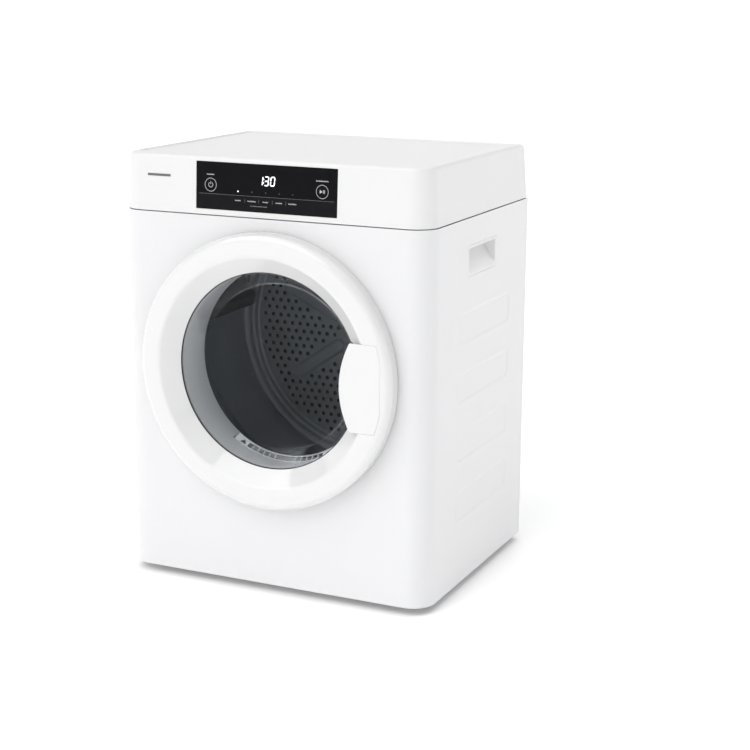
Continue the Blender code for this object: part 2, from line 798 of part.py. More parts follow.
def door_group(pivot):
    ring = part("door_outer_ring", turned(ring_profile(), RING_SEGMENTS, DOOR_CENTRE), GLOSS_WHITE, pivot)
    crown = FRONT_Y - DOOR_PROUD
    pocket = handle_outline(TOUCH)
    cut(ring, prism(pocket, crown - OVERRUN, crown + HANDLE_PLATE + TOUCH, "Y"))
    finger = rectangle(HANDLE_LEFT, HANDLE_WALL_X, HANDLE_LOW + PLASTIC, HANDLE_HIGH - PLASTIC)
    cut(ring, prism(finger, crown, FRONT_Y - RING_FOOT_DEPTH + OVERRUN, "Y"))
    cut(ring, hinge_relief())
    cut(ring, together([ring_slot(sign) for sign in (-1, 1)]))

    outline = handle_outline()
    handle = part("door_handle", prism(outline, crown, crown + HANDLE_PLATE, "Y"), GLOSS_WHITE, pivot)
    back = FRONT_Y - RING_FOOT_DEPTH - PLASTIC / 2
    wall_right = HANDLE_WALL_X - TOUCH
    low, high = HANDLE_LOW + PLASTIC + TOUCH, HANDLE_HIGH - PLASTIC - TOUCH
    join(handle, block((wall_right - PLASTIC, crown + HANDLE_PLATE / 2, low), (wall_right, back, high)))

    bowl_top = WINDOW_RADIUS - GLASS
    bowl_floor = bowl_top - BOWL_DRAFT
    front, flange = -RING_FOOT_DEPTH + TOUCH, -RING_FOOT_DEPTH + TOUCH + GLASS
    rim = WINDOW_RADIUS + GLASS_OVERLAP
    inner_corner = bowl_floor - BOWL_EDGE
    window = [
        (0, BOWL_DEPTH - GLASS),
        (inner_corner - GLASS, BOWL_DEPTH - GLASS),
        (bowl_floor - GLASS, BOWL_DEPTH - GLASS - BOWL_EDGE / 2),
        (bowl_top - GLASS, front),
        (rim, front),
        (rim, flange),
        (bowl_top, flange),
        (bowl_floor, BOWL_DEPTH - BOWL_EDGE),
        (bowl_floor - BOWL_EDGE / 3, BOWL_DEPTH - BOWL_EDGE / 3),
        (inner_corner, BOWL_DEPTH),
        (0, BOWL_DEPTH),
    ]
    part("door_window", turned(window, RING_SEGMENTS, DOOR_CENTRE), CLEAR_GLASS, pivot)

    seat = flange + TOUCH
    step_radius = rim + TOUCH
    tail_inner = WINDOW_RADIUS - TOUCH
    tail_outer = rim + THROAT_WALL
    inner = [
        (tail_inner, seat),
        (step_radius, seat),
        (step_radius, front),
        (DOOR_RADIUS - RING_WALL - TOUCH, front),
        (DOOR_RADIUS - RING_WALL - TOUCH, front + INNER_RING_SHEET),
        (tail_outer, front + INNER_RING_SHEET),
        (tail_outer, INNER_TAIL),
        (tail_inner, INNER_TAIL),
    ]
    back_ring = part("door_inner_ring", turned(inner, RING_SEGMENTS, DOOR_CENTRE), LIGHT_GREY, pivot)
    notch = block(
        (-DOOR_RADIUS - OVERRUN, FRONT_Y - DOOR_PROUD, DOOR_AXIS_HEIGHT - HINGE_NOTCH_HALF),
        (HINGE_ARM_REACH + 0.007 - HINGE_X, FRONT_Y, DOOR_AXIS_HEIGHT + HINGE_NOTCH_HALF),
    )
    cut(back_ring, notch)
    half_width, half_height = LATCH_HALF_WIDTH + TOUCH, LATCH_HALF_HEIGHT + TOUCH
    cut(
        back_ring,
        block(
            (LATCH_X - half_width, FRONT_Y - DOOR_PROUD, DOOR_AXIS_HEIGHT - half_height),
            (LATCH_X + half_width, FRONT_Y + OVERRUN, DOOR_AXIS_HEIGHT + half_height),
        ),
    )

    seal_front = INNER_TAIL + TOUCH
    seal = [
        (THROAT_RADIUS, seal_front),
        (THROAT_RADIUS + 0.006, seal_front),
        (THROAT_RADIUS + 0.005, seal_front + SEAL_THICKNESS),
        (THROAT_RADIUS + 0.001, seal_front + SEAL_THICKNESS),
    ]
    part("door_seal", turned(seal, RING_SEGMENTS, DOOR_CENTRE), RUBBER, pivot)

    base_back = FRONT_Y + front - TOUCH
    striker = part(
        "door_striker",
        block(
            (LATCH_X - 0.007, base_back - PLASTIC, DOOR_AXIS_HEIGHT - 0.010),
            (LATCH_X + 0.007, base_back, DOOR_AXIS_HEIGHT + 0.010),
        ),
        ZINC_STEEL,
        pivot,
    )
    stem = block(
        (LATCH_X - LATCH_HALF_WIDTH, base_back - PLASTIC / 2, DOOR_AXIS_HEIGHT - LATCH_HALF_HEIGHT),
        (LATCH_X + LATCH_HALF_WIDTH, FRONT_Y + LATCH_REACH, DOOR_AXIS_HEIGHT + LATCH_HALF_HEIGHT),
    )
    join(striker, stem)
    hinge_leaf(pivot)


def hinge_relief():
    """The ring's back edge beyond the hinge axis, cut round so that it clears the panel."""
    x, y = HINGE_AXIS.x, HINGE_AXIS.y
    steps = 2 * ARC_STEPS
    points = []
    for step in range(steps + 1):
        angle = math.pi / 2 * (1 + step / steps)
        points.append((x + HINGE_CLEAR_RADIUS * math.cos(angle), y + HINGE_CLEAR_RADIUS * math.sin(angle)))
    far = HINGE_CLEAR_RADIUS + OVERRUN
    points += [(x - far, y), (x - far, y + far), (x, y + far)]
    reach = math.sqrt(DOOR_RADIUS**2 - HINGE_X**2) + OVERRUN
    return prism(points, DOOR_AXIS_HEIGHT - reach, DOOR_AXIS_HEIGHT + reach, "Z")


def ring_slot(sign):
    """The slot in the ring's side wall that lets one hinge arm through as the door opens."""
    height = DOOR_AXIS_HEIGHT + sign * HINGE_ARM_OFFSET
    half = HINGE_ARM_THICKNESS / 2 + HINGE_SLOT_MARGIN
    return block(
        (HINGE_AXIS.x - HINGE_CLEAR_RADIUS, HINGE_AXIS.y - OVERRUN, height - half),
        (HINGE_AXIS.x, FRONT_Y + OVERRUN, height + half),
    )


def eye(radius, half_height, offset=0.0):
    low, high = offset - half_height, offset + half_height
    return rod(radius, low, high, HINGE_AXIS, axis="Z")


def hinge_leaf(pivot):
    """The door's knuckle with its leaf, screwed inside the hollow ring."""
    half = HINGE_ARM_OFFSET - HINGE_ARM_THICKNESS / 2 - HINGE_SLOT_MARGIN
    leaf = part("door_hinge_leaf", eye(HINGE_EYE_RADIUS, half), ZINC_STEEL, pivot)
    bar = [
        (-0.001, -0.0035),
        (0.006, -0.0113),
        (0.019, -0.0113),
        (0.019, -0.0085),
        (0.010, -0.0085),
        (0.0035, -0.001),
    ]
    outline = [(HINGE_AXIS.x + x, HINGE_AXIS.y + y) for x, y in bar]
    join(leaf, prism(outline, DOOR_AXIS_HEIGHT - half, DOOR_AXIS_HEIGHT + half, "Z"))
    cut(leaf, eye(HINGE_PIN_RADIUS + TOUCH, 2 * half))


def hinge_hardware():
    """A plate behind the front panel with two gooseneck arms that carry the pin."""
    plate_front = FRONT_Y + SHEET + TOUCH
    plate_back = plate_front + HINGE_ARM_THICKNESS
    right = -HINGE_X + HINGE_ARM_REACH
    bracket = part(
        "hinge_bracket",
        block(
            (-HINGE_X - 0.020, plate_front, DOOR_AXIS_HEIGHT - HINGE_ARM_OFFSET - 0.015),
            (right, plate_back, DOOR_AXIS_HEIGHT + HINGE_ARM_OFFSET + 0.015),
        ),
        ZINC_STEEL,
    )
    half_bar = HINGE_BAR / 2
    x, y = HINGE_AXIS.x, HINGE_AXIS.y
    start = math.asin(half_bar / HINGE_EYE_RADIUS)
    arm = []
    steps = 4 * ARC_STEPS
    for step in range(steps + 1):
        angle = start + (math.tau - 2 * start) * step / steps
        arm.append((x + HINGE_EYE_RADIUS * math.cos(angle), y + HINGE_EYE_RADIUS * math.sin(angle)))
    arm += [
        (right, y - half_bar),
        (right, plate_back - HINGE_ARM_THICKNESS / 2),
        (right - HINGE_BAR, plate_back - HINGE_ARM_THICKNESS / 2),
        (right - HINGE_BAR, y + half_bar),
    ]
    half = HINGE_ARM_THICKNESS / 2
    for sign in (-1, 1):
        height = DOOR_AXIS_HEIGHT + sign * HINGE_ARM_OFFSET
        join(bracket, prism(arm, height - half, height + half, "Z"))
    reach = HINGE_ARM_OFFSET + 2 * HINGE_ARM_THICKNESS
    cut(bracket, eye(HINGE_PIN_RADIUS + TOUCH, reach))
    part("hinge_pin", eye(HINGE_PIN_RADIUS, HINGE_ARM_OFFSET + HINGE_ARM_THICKNESS), ZINC_STEEL)


def door_catch():
    """The latch's catch behind the front panel, with the door switch on top of it."""
    front = FRONT_Y + SHEET + TOUCH
    half_width = LATCH_HALF_WIDTH + LATCH_SLOT_MARGIN
    half_height = LATCH_HALF_HEIGHT + LATCH_SLOT_MARGIN / 2
    wall = 2 * PLASTIC
    deep = FRONT_Y + LATCH_REACH + LATCH_SLOT_MARGIN
    top = DOOR_AXIS_HEIGHT + half_height + wall
    catch = part(
        "door_catch",
        block(
            (LATCH_X - half_width - wall, front, DOOR_AXIS_HEIGHT - half_height - wall),
            (LATCH_X + half_width + wall, deep + wall, top),
        ),
        DARK_PLASTIC,
    )
    mouth = block(
        (LATCH_X - half_width, front - OVERRUN, DOOR_AXIS_HEIGHT - half_height),
        (LATCH_X + half_width, deep, DOOR_AXIS_HEIGHT + half_height),
    )
    cut(catch, mouth)
    switch = part(
        "door_switch",
        block((LATCH_X - 0.005, front, top + TOUCH), (LATCH_X + 0.005, deep, top + 0.026)),
        DARK_PLASTIC,
    )
    lever = block(
        (LATCH_X - 0.002, deep - PLASTIC, top + 0.006), (LATCH_X + 0.002, deep + PLASTIC, top + 0.024)
    )
    join(switch, lever)


def front_bulkhead():
    """The sheet that closes off the drum's front, with the throat ring that the door seals on."""
    tail = BULKHEAD_REAR + THROAT_TAIL
    lip = INNER_TAIL + TOUCH + SEAL_THICKNESS + TOUCH
    flange_front = SHEET + TOUCH
    flange_outer = THROAT_RADIUS + THROAT_FLANGE
    flange_back = flange_front + THROAT_WALL
    profile = [
        (THROAT_RADIUS, lip),
        (PANEL_OPENING, lip),
        (PANEL_OPENING, flange_front),
        (flange_outer, flange_front),
        (flange_outer, flange_back),
        (PANEL_OPENING + THROAT_WALL, flange_back),
        (PANEL_OPENING + THROAT_WALL, lip + THROAT_WALL),
        (THROAT_OUTER, lip + THROAT_WALL),
        (THROAT_OUTER, tail),
        (THROAT_RADIUS, tail),
    ]
    obj = part("front_bulkhead", turned(profile, RING_SEGMENTS, DOOR_CENTRE), LIGHT_GREY)
    side = HALF_WIDTH - SHEET - BULKHEAD_SIDE_GAP
    sheet = rectangle(-side, side, BASE_TOP + TOUCH, CABINET_TOP - OVERRUN)
    plate = prism(sheet, FRONT_Y + BULKHEAD_DEPTH, FRONT_Y + BULKHEAD_REAR, "Y")
    join(obj, plate)
    cut(obj, rod(THROAT_RADIUS, -OVERRUN, tail + OVERRUN, DOOR_CENTRE, RING_SEGMENTS))
    half, front = filter_slot()
    slot = block(
        (-half, FRONT_Y + front, FILTER_BOTTOM),
        (half, FRONT_Y + BULKHEAD_DEPTH, DOOR_AXIS_HEIGHT - THROAT_RADIUS / 2),
    )
    cut(obj, slot)
    near, far = BULKHEAD_DEPTH - OVERRUN, BULKHEAD_REAR + OVERRUN
    cut(obj, rod(BLOWER_EYE_RADIUS, near, far, MOTOR_AXIS, RING_SEGMENTS))
    return obj


def filter_slot():
    """(half width, front depth) of the slot that the lint filter slides in."""
    half = THROAT_RADIUS * math.sin(math.radians(FILTER_HALF_ANGLE)) + FILTER_MARGIN
    return half, BULKHEAD_DEPTH - FILTER_THICKNESS - 2 * TOUCH


def lint_filter(pivot):
    """A curved grille that carries on the throat's floor, above a frame with the lint mesh."""
    back = BULKHEAD_DEPTH - TOUCH
    front = back - FILTER_THICKNESS
    steps = 3 * ARC_STEPS
    half = math.radians(FILTER_HALF_ANGLE)
    rings = []
    for step in range(steps + 1):
        angle = -half + 2 * half * step / steps
        section = [
            (THROAT_RADIUS - TOUCH, front),
            (THROAT_RADIUS - FILTER_DROP, back),
            (THROAT_RADIUS - FILTER_DROP + THROAT_WALL, back),
            (THROAT_RADIUS + THROAT_WALL, front + THROAT_WALL),
            (THROAT_RADIUS + THROAT_WALL, front),
        ]
        rings.append(
            [
                DOOR_CENTRE + Vector((radius * math.sin(angle), depth, -radius * math.cos(angle)))
                for radius, depth in section
            ]
        )
    frame = part("lint_filter_frame", loft(rings), LIGHT_GREY, pivot)
    low_front = FRONT_Y + front
    frame_top = DOOR_AXIS_HEIGHT - THROAT_RADIUS - THROAT_WALL / 2
    corner = FRONT_Y + front + THROAT_WALL
    panel = []
    for step in range(steps + 1):
        x = -FILTER_HALF_WIDTH + 2 * FILTER_HALF_WIDTH * step / steps
        under = THROAT_RADIUS + THROAT_WALL / 2
        panel.append((x, DOOR_AXIS_HEIGHT - math.sqrt(under**2 - x**2)))
    panel += [(FILTER_HALF_WIDTH, FILTER_BOTTOM), (-FILTER_HALF_WIDTH, FILTER_BOTTOM)]
    join(frame, prism(panel, low_front, corner, "Y"))
    rim = 2 * PLASTIC
    window = rectangle(
        rim - FILTER_HALF_WIDTH,
        FILTER_HALF_WIDTH - rim,
        FILTER_BOTTOM + rim,
        frame_top - rim,
    )
    cut(frame, prism(window, low_front - OVERRUN, corner + OVERRUN, "Y"))
    cut(frame, together(grille_slots()))
    rim += TOUCH
    cloth = rectangle(
        rim - FILTER_HALF_WIDTH,
        FILTER_HALF_WIDTH - rim,
        FILTER_BOTTOM + rim,
        frame_top - rim,
    )
    middle_y = (low_front + corner) / 2
    part("lint_filter_mesh", prism(cloth, middle_y - TOUCH, middle_y + TOUCH, "Y"), FILTER_CLOTH, pivot)


def grille_slots():
    """Radial slots in the grille: five each side of a wide one in the middle."""
    low = THROAT_RADIUS - FILTER_DROP - OVERRUN
    high = THROAT_RADIUS + 2 * OVERRUN
    near = FRONT_Y + BULKHEAD_DEPTH - FILTER_THICKNESS + GRILLE_BORDER
    far = FRONT_Y + BULKHEAD_DEPTH - GRILLE_BORDER
    wide_angle = math.degrees(GRILLE_WIDE_SLOT / THROAT_RADIUS) / 2
    slots = [(0, GRILLE_WIDE_SLOT)]
    for side in (-1, 1):
        for k in range(GRILLE_SLOTS):
            slots.append((side * (wide_angle + GRILLE_PITCH * (k + 0.65)), GRILLE_SLOT))
    shapes = []
    for degrees, width in slots:
        shape = block((-width / 2, near, -high), (width / 2, far, -low))
        shape.transform(Matrix.Rotation(math.radians(-degrees), 4, "Y"))
        shape.transform(Matrix.Translation((0, 0, DOOR_AXIS_HEIGHT)))
        shapes.append(shape)
    return shapes


def filter_duct():
    """The box that holds the lint filter and leads the air down to the blower's eye."""
    out = filter_slot()[0] + DUCT_WALL
    foot = MOTOR_HEIGHT - BLOWER_EYE_RADIUS - 2 * DUCT_WALL
    far = MOTOR_X + BLOWER_EYE_RADIUS + 2 * DUCT_WALL
    mouth = DOOR_AXIS_HEIGHT - THROAT_RADIUS / 2
    shoulder = MOTOR_HEIGHT + BLOWER_EYE_RADIUS + DUCT_WALL
    lower = FILTER_BOTTOM - 2 * DUCT_WALL - PLASTIC

    def outline(wall):
        return [
            (-out + wall, mouth),
            (-out + wall, lower + wall),
            (MOTOR_X - BLOWER_EYE_RADIUS, foot + wall),
            (far - wall, foot + wall),
            (far - wall, shoulder - wall),
            (out - wall, shoulder + 2 * DUCT_WALL - wall),
            (out - wall, mouth),
        ]

    front, back = FRONT_Y + DUCT_FRONT_DEPTH, FRONT_Y + BULKHEAD_DEPTH - TOUCH
    obj = part("filter_duct", prism(outline(0), front, back, "Y"), LIGHT_GREY)
    clear, reach = PANEL_OPENING + 2 * THROAT_WALL, OVERRUN + DUCT_FRONT_DEPTH
    cut(obj, rod(clear, -OVERRUN, reach, DOOR_CENTRE, RING_SEGMENTS))
    cut(obj, rod(THROAT_OUTER + TOUCH, 0, CABINET_DEPTH, DOOR_CENTRE, RING_SEGMENTS))
    cut(obj, prism(outline(DUCT_WALL), front + DUCT_WALL, back + OVERRUN, "Y"))
    return obj


def blower():
    """The scroll-shaped blower case, open at its eye and at its outlet."""
    floor = MOTOR_HEIGHT - BLOWER_CASE_RADIUS - BLOWER_CASE_GROWTH
    ceiling = floor + BLOWER_LENGTH
    steps = 8 * ARC_STEPS

    def scroll(wall, mouth):
        tongue = math.pi + math.asin((MOTOR_HEIGHT - ceiling + wall) / (BLOWER_CASE_RADIUS - wall))
        points = []
        for step in range(steps + 1):
            share = step / steps
            angle = tongue - (tongue + math.pi / 2) * share
            radius = BLOWER_CASE_RADIUS + BLOWER_CASE_GROWTH * share - wall
            points.append((MOTOR_X + radius * math.cos(angle), MOTOR_HEIGHT + radius * math.sin(angle)))
        return points + [(mouth, floor + wall), (mouth, ceiling - wall)]

    front, back = FRONT_Y + BLOWER_FRONT, FRONT_Y + BLOWER_REAR
    wall = DUCT_WALL
    case = part("blower_housing", prism(scroll(0, BLOWER_OUTLET_X), front, back, "Y"), LIGHT_GREY)
    cut(case, prism(scroll(wall, BLOWER_OUTLET_X - OVERRUN), front + wall, back - wall, "Y"))
    eye_hole = BLOWER_EYE_RADIUS - THROAT_WALL
    cut(case, rod(eye_hole, BLOWER_FRONT - OVERRUN, BLOWER_FRONT + OVERRUN, MOTOR_AXIS))
    cut(case, rod(2 * ROTOR_RADIUS, BLOWER_REAR - OVERRUN, BLOWER_REAR + OVERRUN, MOTOR_AXIS))
    return floor, ceiling


def rotor(pivot):
    """Motor shaft, belt pulley and blower wheel, which turn as one."""
    shaft_end = BELT_DEPTH + PULLEY_WIDTH
    wheel_front = BLOWER_FRONT + (BLOWER_LENGTH - BLOWER_WHEEL_WIDTH) / 2
    wheel_back = wheel_front + BLOWER_WHEEL_WIDTH
    part("motor_shaft", rod(ROTOR_RADIUS, wheel_front, shaft_end, MOTOR_AXIS), ZINC_STEEL, pivot)
    bore = ROTOR_RADIUS + TOUCH
    edge = PULLEY_RADIUS + 2 * PULLEY_FLANGE
    near, far = BELT_DEPTH - PULLEY_WIDTH / 2, BELT_DEPTH + PULLEY_WIDTH / 2
    groove = [
        (bore, near - PULLEY_FLANGE),
        (edge, near - PULLEY_FLANGE),
        (edge, near),
        (PULLEY_RADIUS, near),
        (PULLEY_RADIUS, far),
        (edge, far),
        (edge, far + PULLEY_FLANGE),
        (bore, far + PULLEY_FLANGE),
    ]
    part("motor_pulley", turned(groove, SMALL_SEGMENTS, MOTOR_AXIS), ZINC_STEEL, pivot)
    outline = []
    root, tip = BLOWER_WHEEL_RADIUS * BLADE_ROOT, BLOWER_WHEEL_RADIUS
    for k in range(BLOWER_BLADES):
        for share, radius in ((0.0, root), (0.3, root), (0.35, tip), (0.65, tip)):
            angle = math.tau * (k + share) / BLOWER_BLADES
            outline.append((MOTOR_X + radius * math.cos(angle), MOTOR_HEIGHT + radius * math.sin(angle)))
    blades = prism(outline, FRONT_Y + wheel_front, FRONT_Y + wheel_back, "Y")
    wheel = part("blower_wheel", blades, DARK_PLASTIC, pivot)
    hub = 3 * ROTOR_RADIUS
    hollow = [
        (hub, wheel_front - OVERRUN),
        (root + PLASTIC, wheel_front - OVERRUN),
        (root + PLASTIC, wheel_back - PLASTIC),
        (hub, wheel_back - PLASTIC),
    ]
    cut(wheel, turned(hollow, RING_SEGMENTS, MOTOR_AXIS))
    cut(wheel, rod(bore, wheel_front - OVERRUN, wheel_back + OVERRUN, MOTOR_AXIS))


def motor():
    """The motor's body on its bracket."""
    bore = ROTOR_RADIUS + 2 * TOUCH
    boss = 4 * ROTOR_RADIUS
    front, back = MOTOR_FRONT + PLASTIC, MOTOR_REAR - PLASTIC
    profile = [
        (bore, MOTOR_FRONT),
        (boss, MOTOR_FRONT),
        (boss, front),
        (MOTOR_RADIUS - PLASTIC, front),
        (MOTOR_RADIUS, front + PLASTIC),
        (MOTOR_RADIUS, back - PLASTIC),
        (MOTOR_RADIUS - PLASTIC, back),
        (boss, back),
        (boss, MOTOR_REAR),
        (bore, MOTOR_REAR),
    ]
    part("motor_body", turned(profile, 2 * SMALL_SEGMENTS, MOTOR_AXIS), ZINC_STEEL)
    floor = BASE_FLOOR + TOUCH
    near = FRONT_Y + MOTOR_FRONT + 3 * PLASTIC
    far = FRONT_Y + MOTOR_REAR - 3 * PLASTIC
    left, right = MOTOR_X - MOTOR_RADIUS, MOTOR_X + MOTOR_RADIUS
    bracket = part(
        "motor_bracket", block((left, near, floor), (right, far, floor + BRACKET_SHEET)), ZINC_STEEL
    )
    saddle_top = MOTOR_HEIGHT - MOTOR_RADIUS / 3
    for y in (near, far - BRACKET_SHEET):
        join(bracket, block((left, y, floor), (right, y + BRACKET_SHEET, saddle_top)))
    cut(bracket, rod(MOTOR_RADIUS + TOUCH, MOTOR_FRONT, MOTOR_REAR, MOTOR_AXIS, 2 * SMALL_SEGMENTS))


def belt_circles():
    """(centre, signed radius of the belt's inner side) of what the belt runs round."""
    drum = Vector((0, DOOR_AXIS_HEIGHT))
    idler = Vector((IDLER_X, IDLER_HEIGHT))
    pulley = Vector((MOTOR_X, MOTOR_HEIGHT))
    return [
        (drum, DRUM_RADIUS + BELT_GAP),
        (idler, -(IDLER_RADIUS + BELT_GAP + BELT_THICKNESS)),
        (pulley, PULLEY_RADIUS + BELT_GAP),
    ]


def drive_belt():
    """A flat belt along the common tangents of the drum, the idler and the motor pulley."""
    circles = belt_circles()
    normals = []
    for (centre, radius), (following, next_radius) in zip(circles, circles[1:] + circles[:1]):
        span = following - centre
        turn = math.acos((next_radius - radius) / span.length)
        normals.append(math.atan2(span.y, span.x) + turn)
    sections = []
    for k, (centre, radius) in enumerate(circles):
        arrive, leave = normals[k - 1], normals[k]
        way = 1 if radius > 0 else -1
        sweep = way * ((way * (leave - arrive)) % math.tau)
        steps = max(3, math.ceil(abs(sweep) / math.tau * (DRUM_SEGMENTS if k == 0 else SMALL_SEGMENTS)))
        for step in range(steps + 1):
            angle = arrive + sweep * step / steps
            normal = Vector((math.cos(angle), math.sin(angle)))
            sections.append((centre - radius * normal, centre - (radius + BELT_THICKNESS) * normal))
    low = FRONT_Y + BELT_DEPTH - BELT_WIDTH / 2
    high = low + BELT_WIDTH
    rings = []
    for inner, outer in sections:
        rings.append(
            [
                (inner.x, low, inner.y),
                (outer.x, low, outer.y),
                (outer.x, high, outer.y),
                (inner.x, high, inner.y),
            ]
        )
    part("drive_belt", closed_loft(rings), RUBBER)


def idler(arm_pivot, wheel_pivot):
    """The sprung arm with its pulley, which keeps the belt tight."""
    wheel_front = BELT_DEPTH - PULLEY_WIDTH / 2
    wheel_back = BELT_DEPTH + PULLEY_WIDTH / 2
    axis = Vector((IDLER_X, FRONT_Y, IDLER_HEIGHT))
    bore = [
        (ROLLER_BORE, wheel_front),
        (IDLER_RADIUS, wheel_front),
        (IDLER_RADIUS, wheel_back),
        (ROLLER_BORE, wheel_back),
    ]
    part("idler_pulley", turned(bore, SMALL_SEGMENTS, axis), DARK_PLASTIC, wheel_pivot)

    def place(x, z):
        return Vector((x, FRONT_Y, z))

    back = wheel_front - 2 * TOUCH
    front = back - IDLER_ARM_SHEET
    half = 2 * ROTOR_RADIUS
    pivot_point = Vector((IDLER_PIVOT_X, IDLER_PIVOT_HEIGHT))
    wheel_point = Vector((IDLER_X, IDLER_HEIGHT))
    along = (wheel_point - pivot_point).normalized()
    waist = half * IDLER_ARM_WAIST
    across = Vector((-along.y, along.x)) * waist
    bar = [pivot_point - across, wheel_point - across, wheel_point + across, pivot_point + across]
    pivot_place = place(IDLER_PIVOT_X, IDLER_PIVOT_HEIGHT)
    arm = part("idler_arm", rod(half, front, back, pivot_place), ZINC_STEEL, arm_pivot)
    join(arm, prism(bar, FRONT_Y + front, FRONT_Y + back, "Y"))
    join(arm, rod(half, front, back, place(IDLER_X, IDLER_HEIGHT)))
    join(arm, rod(AXLE_RADIUS, front, wheel_back + 2 * TOUCH, place(IDLER_X, IDLER_HEIGHT)))
    tail_top = IDLER_PIVOT_HEIGHT + waist
    tail = rectangle(IDLER_TAIL_X - half, IDLER_PIVOT_X, IDLER_PIVOT_HEIGHT, tail_top)
    join(arm, prism(tail, FRONT_Y + front, FRONT_Y + back, "Y"))
    cut(arm, rod(AXLE_RADIUS + TOUCH, front - OVERRUN, back + OVERRUN, pivot_place))

    low = BASE_FLOOR + TOUCH
    stand_front = front - 2 * TOUCH - IDLER_ARM_SHEET
    stand = part(
        "idler_stand",
        block(
            (IDLER_PIVOT_X - half, FRONT_Y + stand_front, low),
            (IDLER_PIVOT_X + half, FRONT_Y + stand_front + IDLER_ARM_SHEET, IDLER_PIVOT_HEIGHT + half),
        ),
        ZINC_STEEL,
    )
    join(stand, rod(AXLE_RADIUS, stand_front, back + TOUCH, place(IDLER_PIVOT_X, IDLER_PIVOT_HEIGHT)))
    idler_spring(low + SPRING_WIRE, IDLER_PIVOT_HEIGHT - 2 * SPRING_WIRE, (front + back) / 2)


def idler_spring(low, high, depth):
    """An extension spring from the base pan up to the arm's tail."""
    per_turn = 8
    count = SPRING_TURNS * per_turn
    curve = bpy.data.curves.new("idler_spring", "CURVE")
    curve.dimensions = "3D"
    curve.bevel_depth = SPRING_WIRE
    curve.bevel_resolution = 0
    curve.use_fill_caps = True
    line = curve.splines.new("POLY")
    line.points.add(count)
    for k in range(count + 1):
        angle = math.tau * k / per_turn
        height = (high - low) * k / count
        line.points[k].co = (SPRING_RADIUS * math.cos(angle), SPRING_RADIUS * math.sin(angle), height, 1)
    obj = bpy.data.objects.new("idler_spring", curve)
    obj.location = (IDLER_TAIL_X, FRONT_Y + depth, low)
    obj.data.materials.append(finish_material("idler_spring", ZINC_STEEL))
    bpy.context.scene.collection.objects.link(obj)


def drum_group(pivot):
    mouth, outer, sheet = DRUM_MOUTH, DRUM_RADIUS, DRUM_SHEET
    front, lip = DRUM_FRONT, DRUM_FRONT + DRUM_LIP
    shell = rounded(
        [
            (mouth, lip, 0),
            (mouth, front, 0),
            (outer, front, DRUM_CORNER),
            (outer, DRUM_REAR, 0),
            (outer - sheet, DRUM_REAR, 0),
            (outer - sheet, front + sheet, DRUM_CORNER - sheet),
            (mouth + sheet, front + sheet, 0),
            (mouth + sheet, lip, 0),
        ],
        2,
    )
    part("drum_shell", turned(shell, DRUM_SEGMENTS, DOOR_CENTRE), DRUM_STEEL, pivot)

    rim = outer - sheet - TOUCH
    face = DRUM_BACK_FACE
    back = [
        (0, face),
        (rim - sheet, face),
        (rim - sheet, face - DRUM_BACK_RIM),
        (rim, face - DRUM_BACK_RIM),
        (rim, face + sheet),
        (0, face + sheet),
    ]
    disc = part("drum_back", turned(back, DRUM_SEGMENTS, DOOR_CENTRE), DRUM_STEEL, pivot)
    holes = []
    for circle, count in BACK_HOLE_CIRCLES:
        for k in range(count):
            angle = math.tau * k / count
            place = DOOR_CENTRE + Vector((circle * math.cos(angle), 0, circle * math.sin(angle)))
            holes.append(rod(BACK_HOLE_RADIUS, face - OVERRUN, face + OVERRUN, place, 8))
    cut(disc, together(holes))

    for k in range(LIFTER_COUNT):
        lifter(f"drum_lifter_{k + 1}", LIFTER_FIRST_ANGLE - k * 360 / LIFTER_COUNT, pivot)

    flange_front = face + sheet + TOUCH
    flange_back = flange_front + SHAFT_FLANGE
    end = flange_back + SHAFT_LENGTH
    stub = [
        (0, flange_front),
        (SHAFT_FLANGE_RADIUS, flange_front),
        (SHAFT_FLANGE_RADIUS, flange_back),
        (SHAFT_RADIUS, flange_back),
        (SHAFT_RADIUS, end),
        (0, end),
    ]
    part("drum_shaft", turned(stub, 2 * SMALL_SEGMENTS, DOOR_CENTRE), ZINC_STEEL, pivot)


def lifter(name, degrees, pivot):
    """A drum baffle: a rounded wedge along the drum wall, ramped at both ends."""
    half = LIFTER_BASE / 2
    seat = math.sqrt((DRUM_RADIUS - 2 * DRUM_SHEET) ** 2 - half**2) - TOUCH
    start, end = DRUM_FRONT + LIFTER_END_GAP, DRUM_BACK_FACE - LIFTER_END_GAP
    rings = []
    for depth, share in (
        (start, 0.2),
        (start + LIFTER_RAMP, 1.0),
        (end - LIFTER_RAMP, 1.0),
        (end, 0.2),
    ):
        top = LIFTER_TOP / 2
        height = LIFTER_HEIGHT * share
        corner = LIFTER_TOP / 3
        section = [
            (-half, 0),
            (-top, height - corner * share),
            (-top * 0.6, height),
            (top * 0.6, height),
            (top, height - corner * share),
            (half, 0),
        ]
        rings.append([Vector((seat - rise, FRONT_Y + depth, aside)) for aside, rise in section])
    shape = loft(rings)
    shape.transform(Matrix.Rotation(-math.radians(degrees), 4, "Y"))
    shape.transform(Matrix.Translation((0, 0, DOOR_AXIS_HEIGHT)))
    part(name, shape, DARK_PLASTIC, pivot)


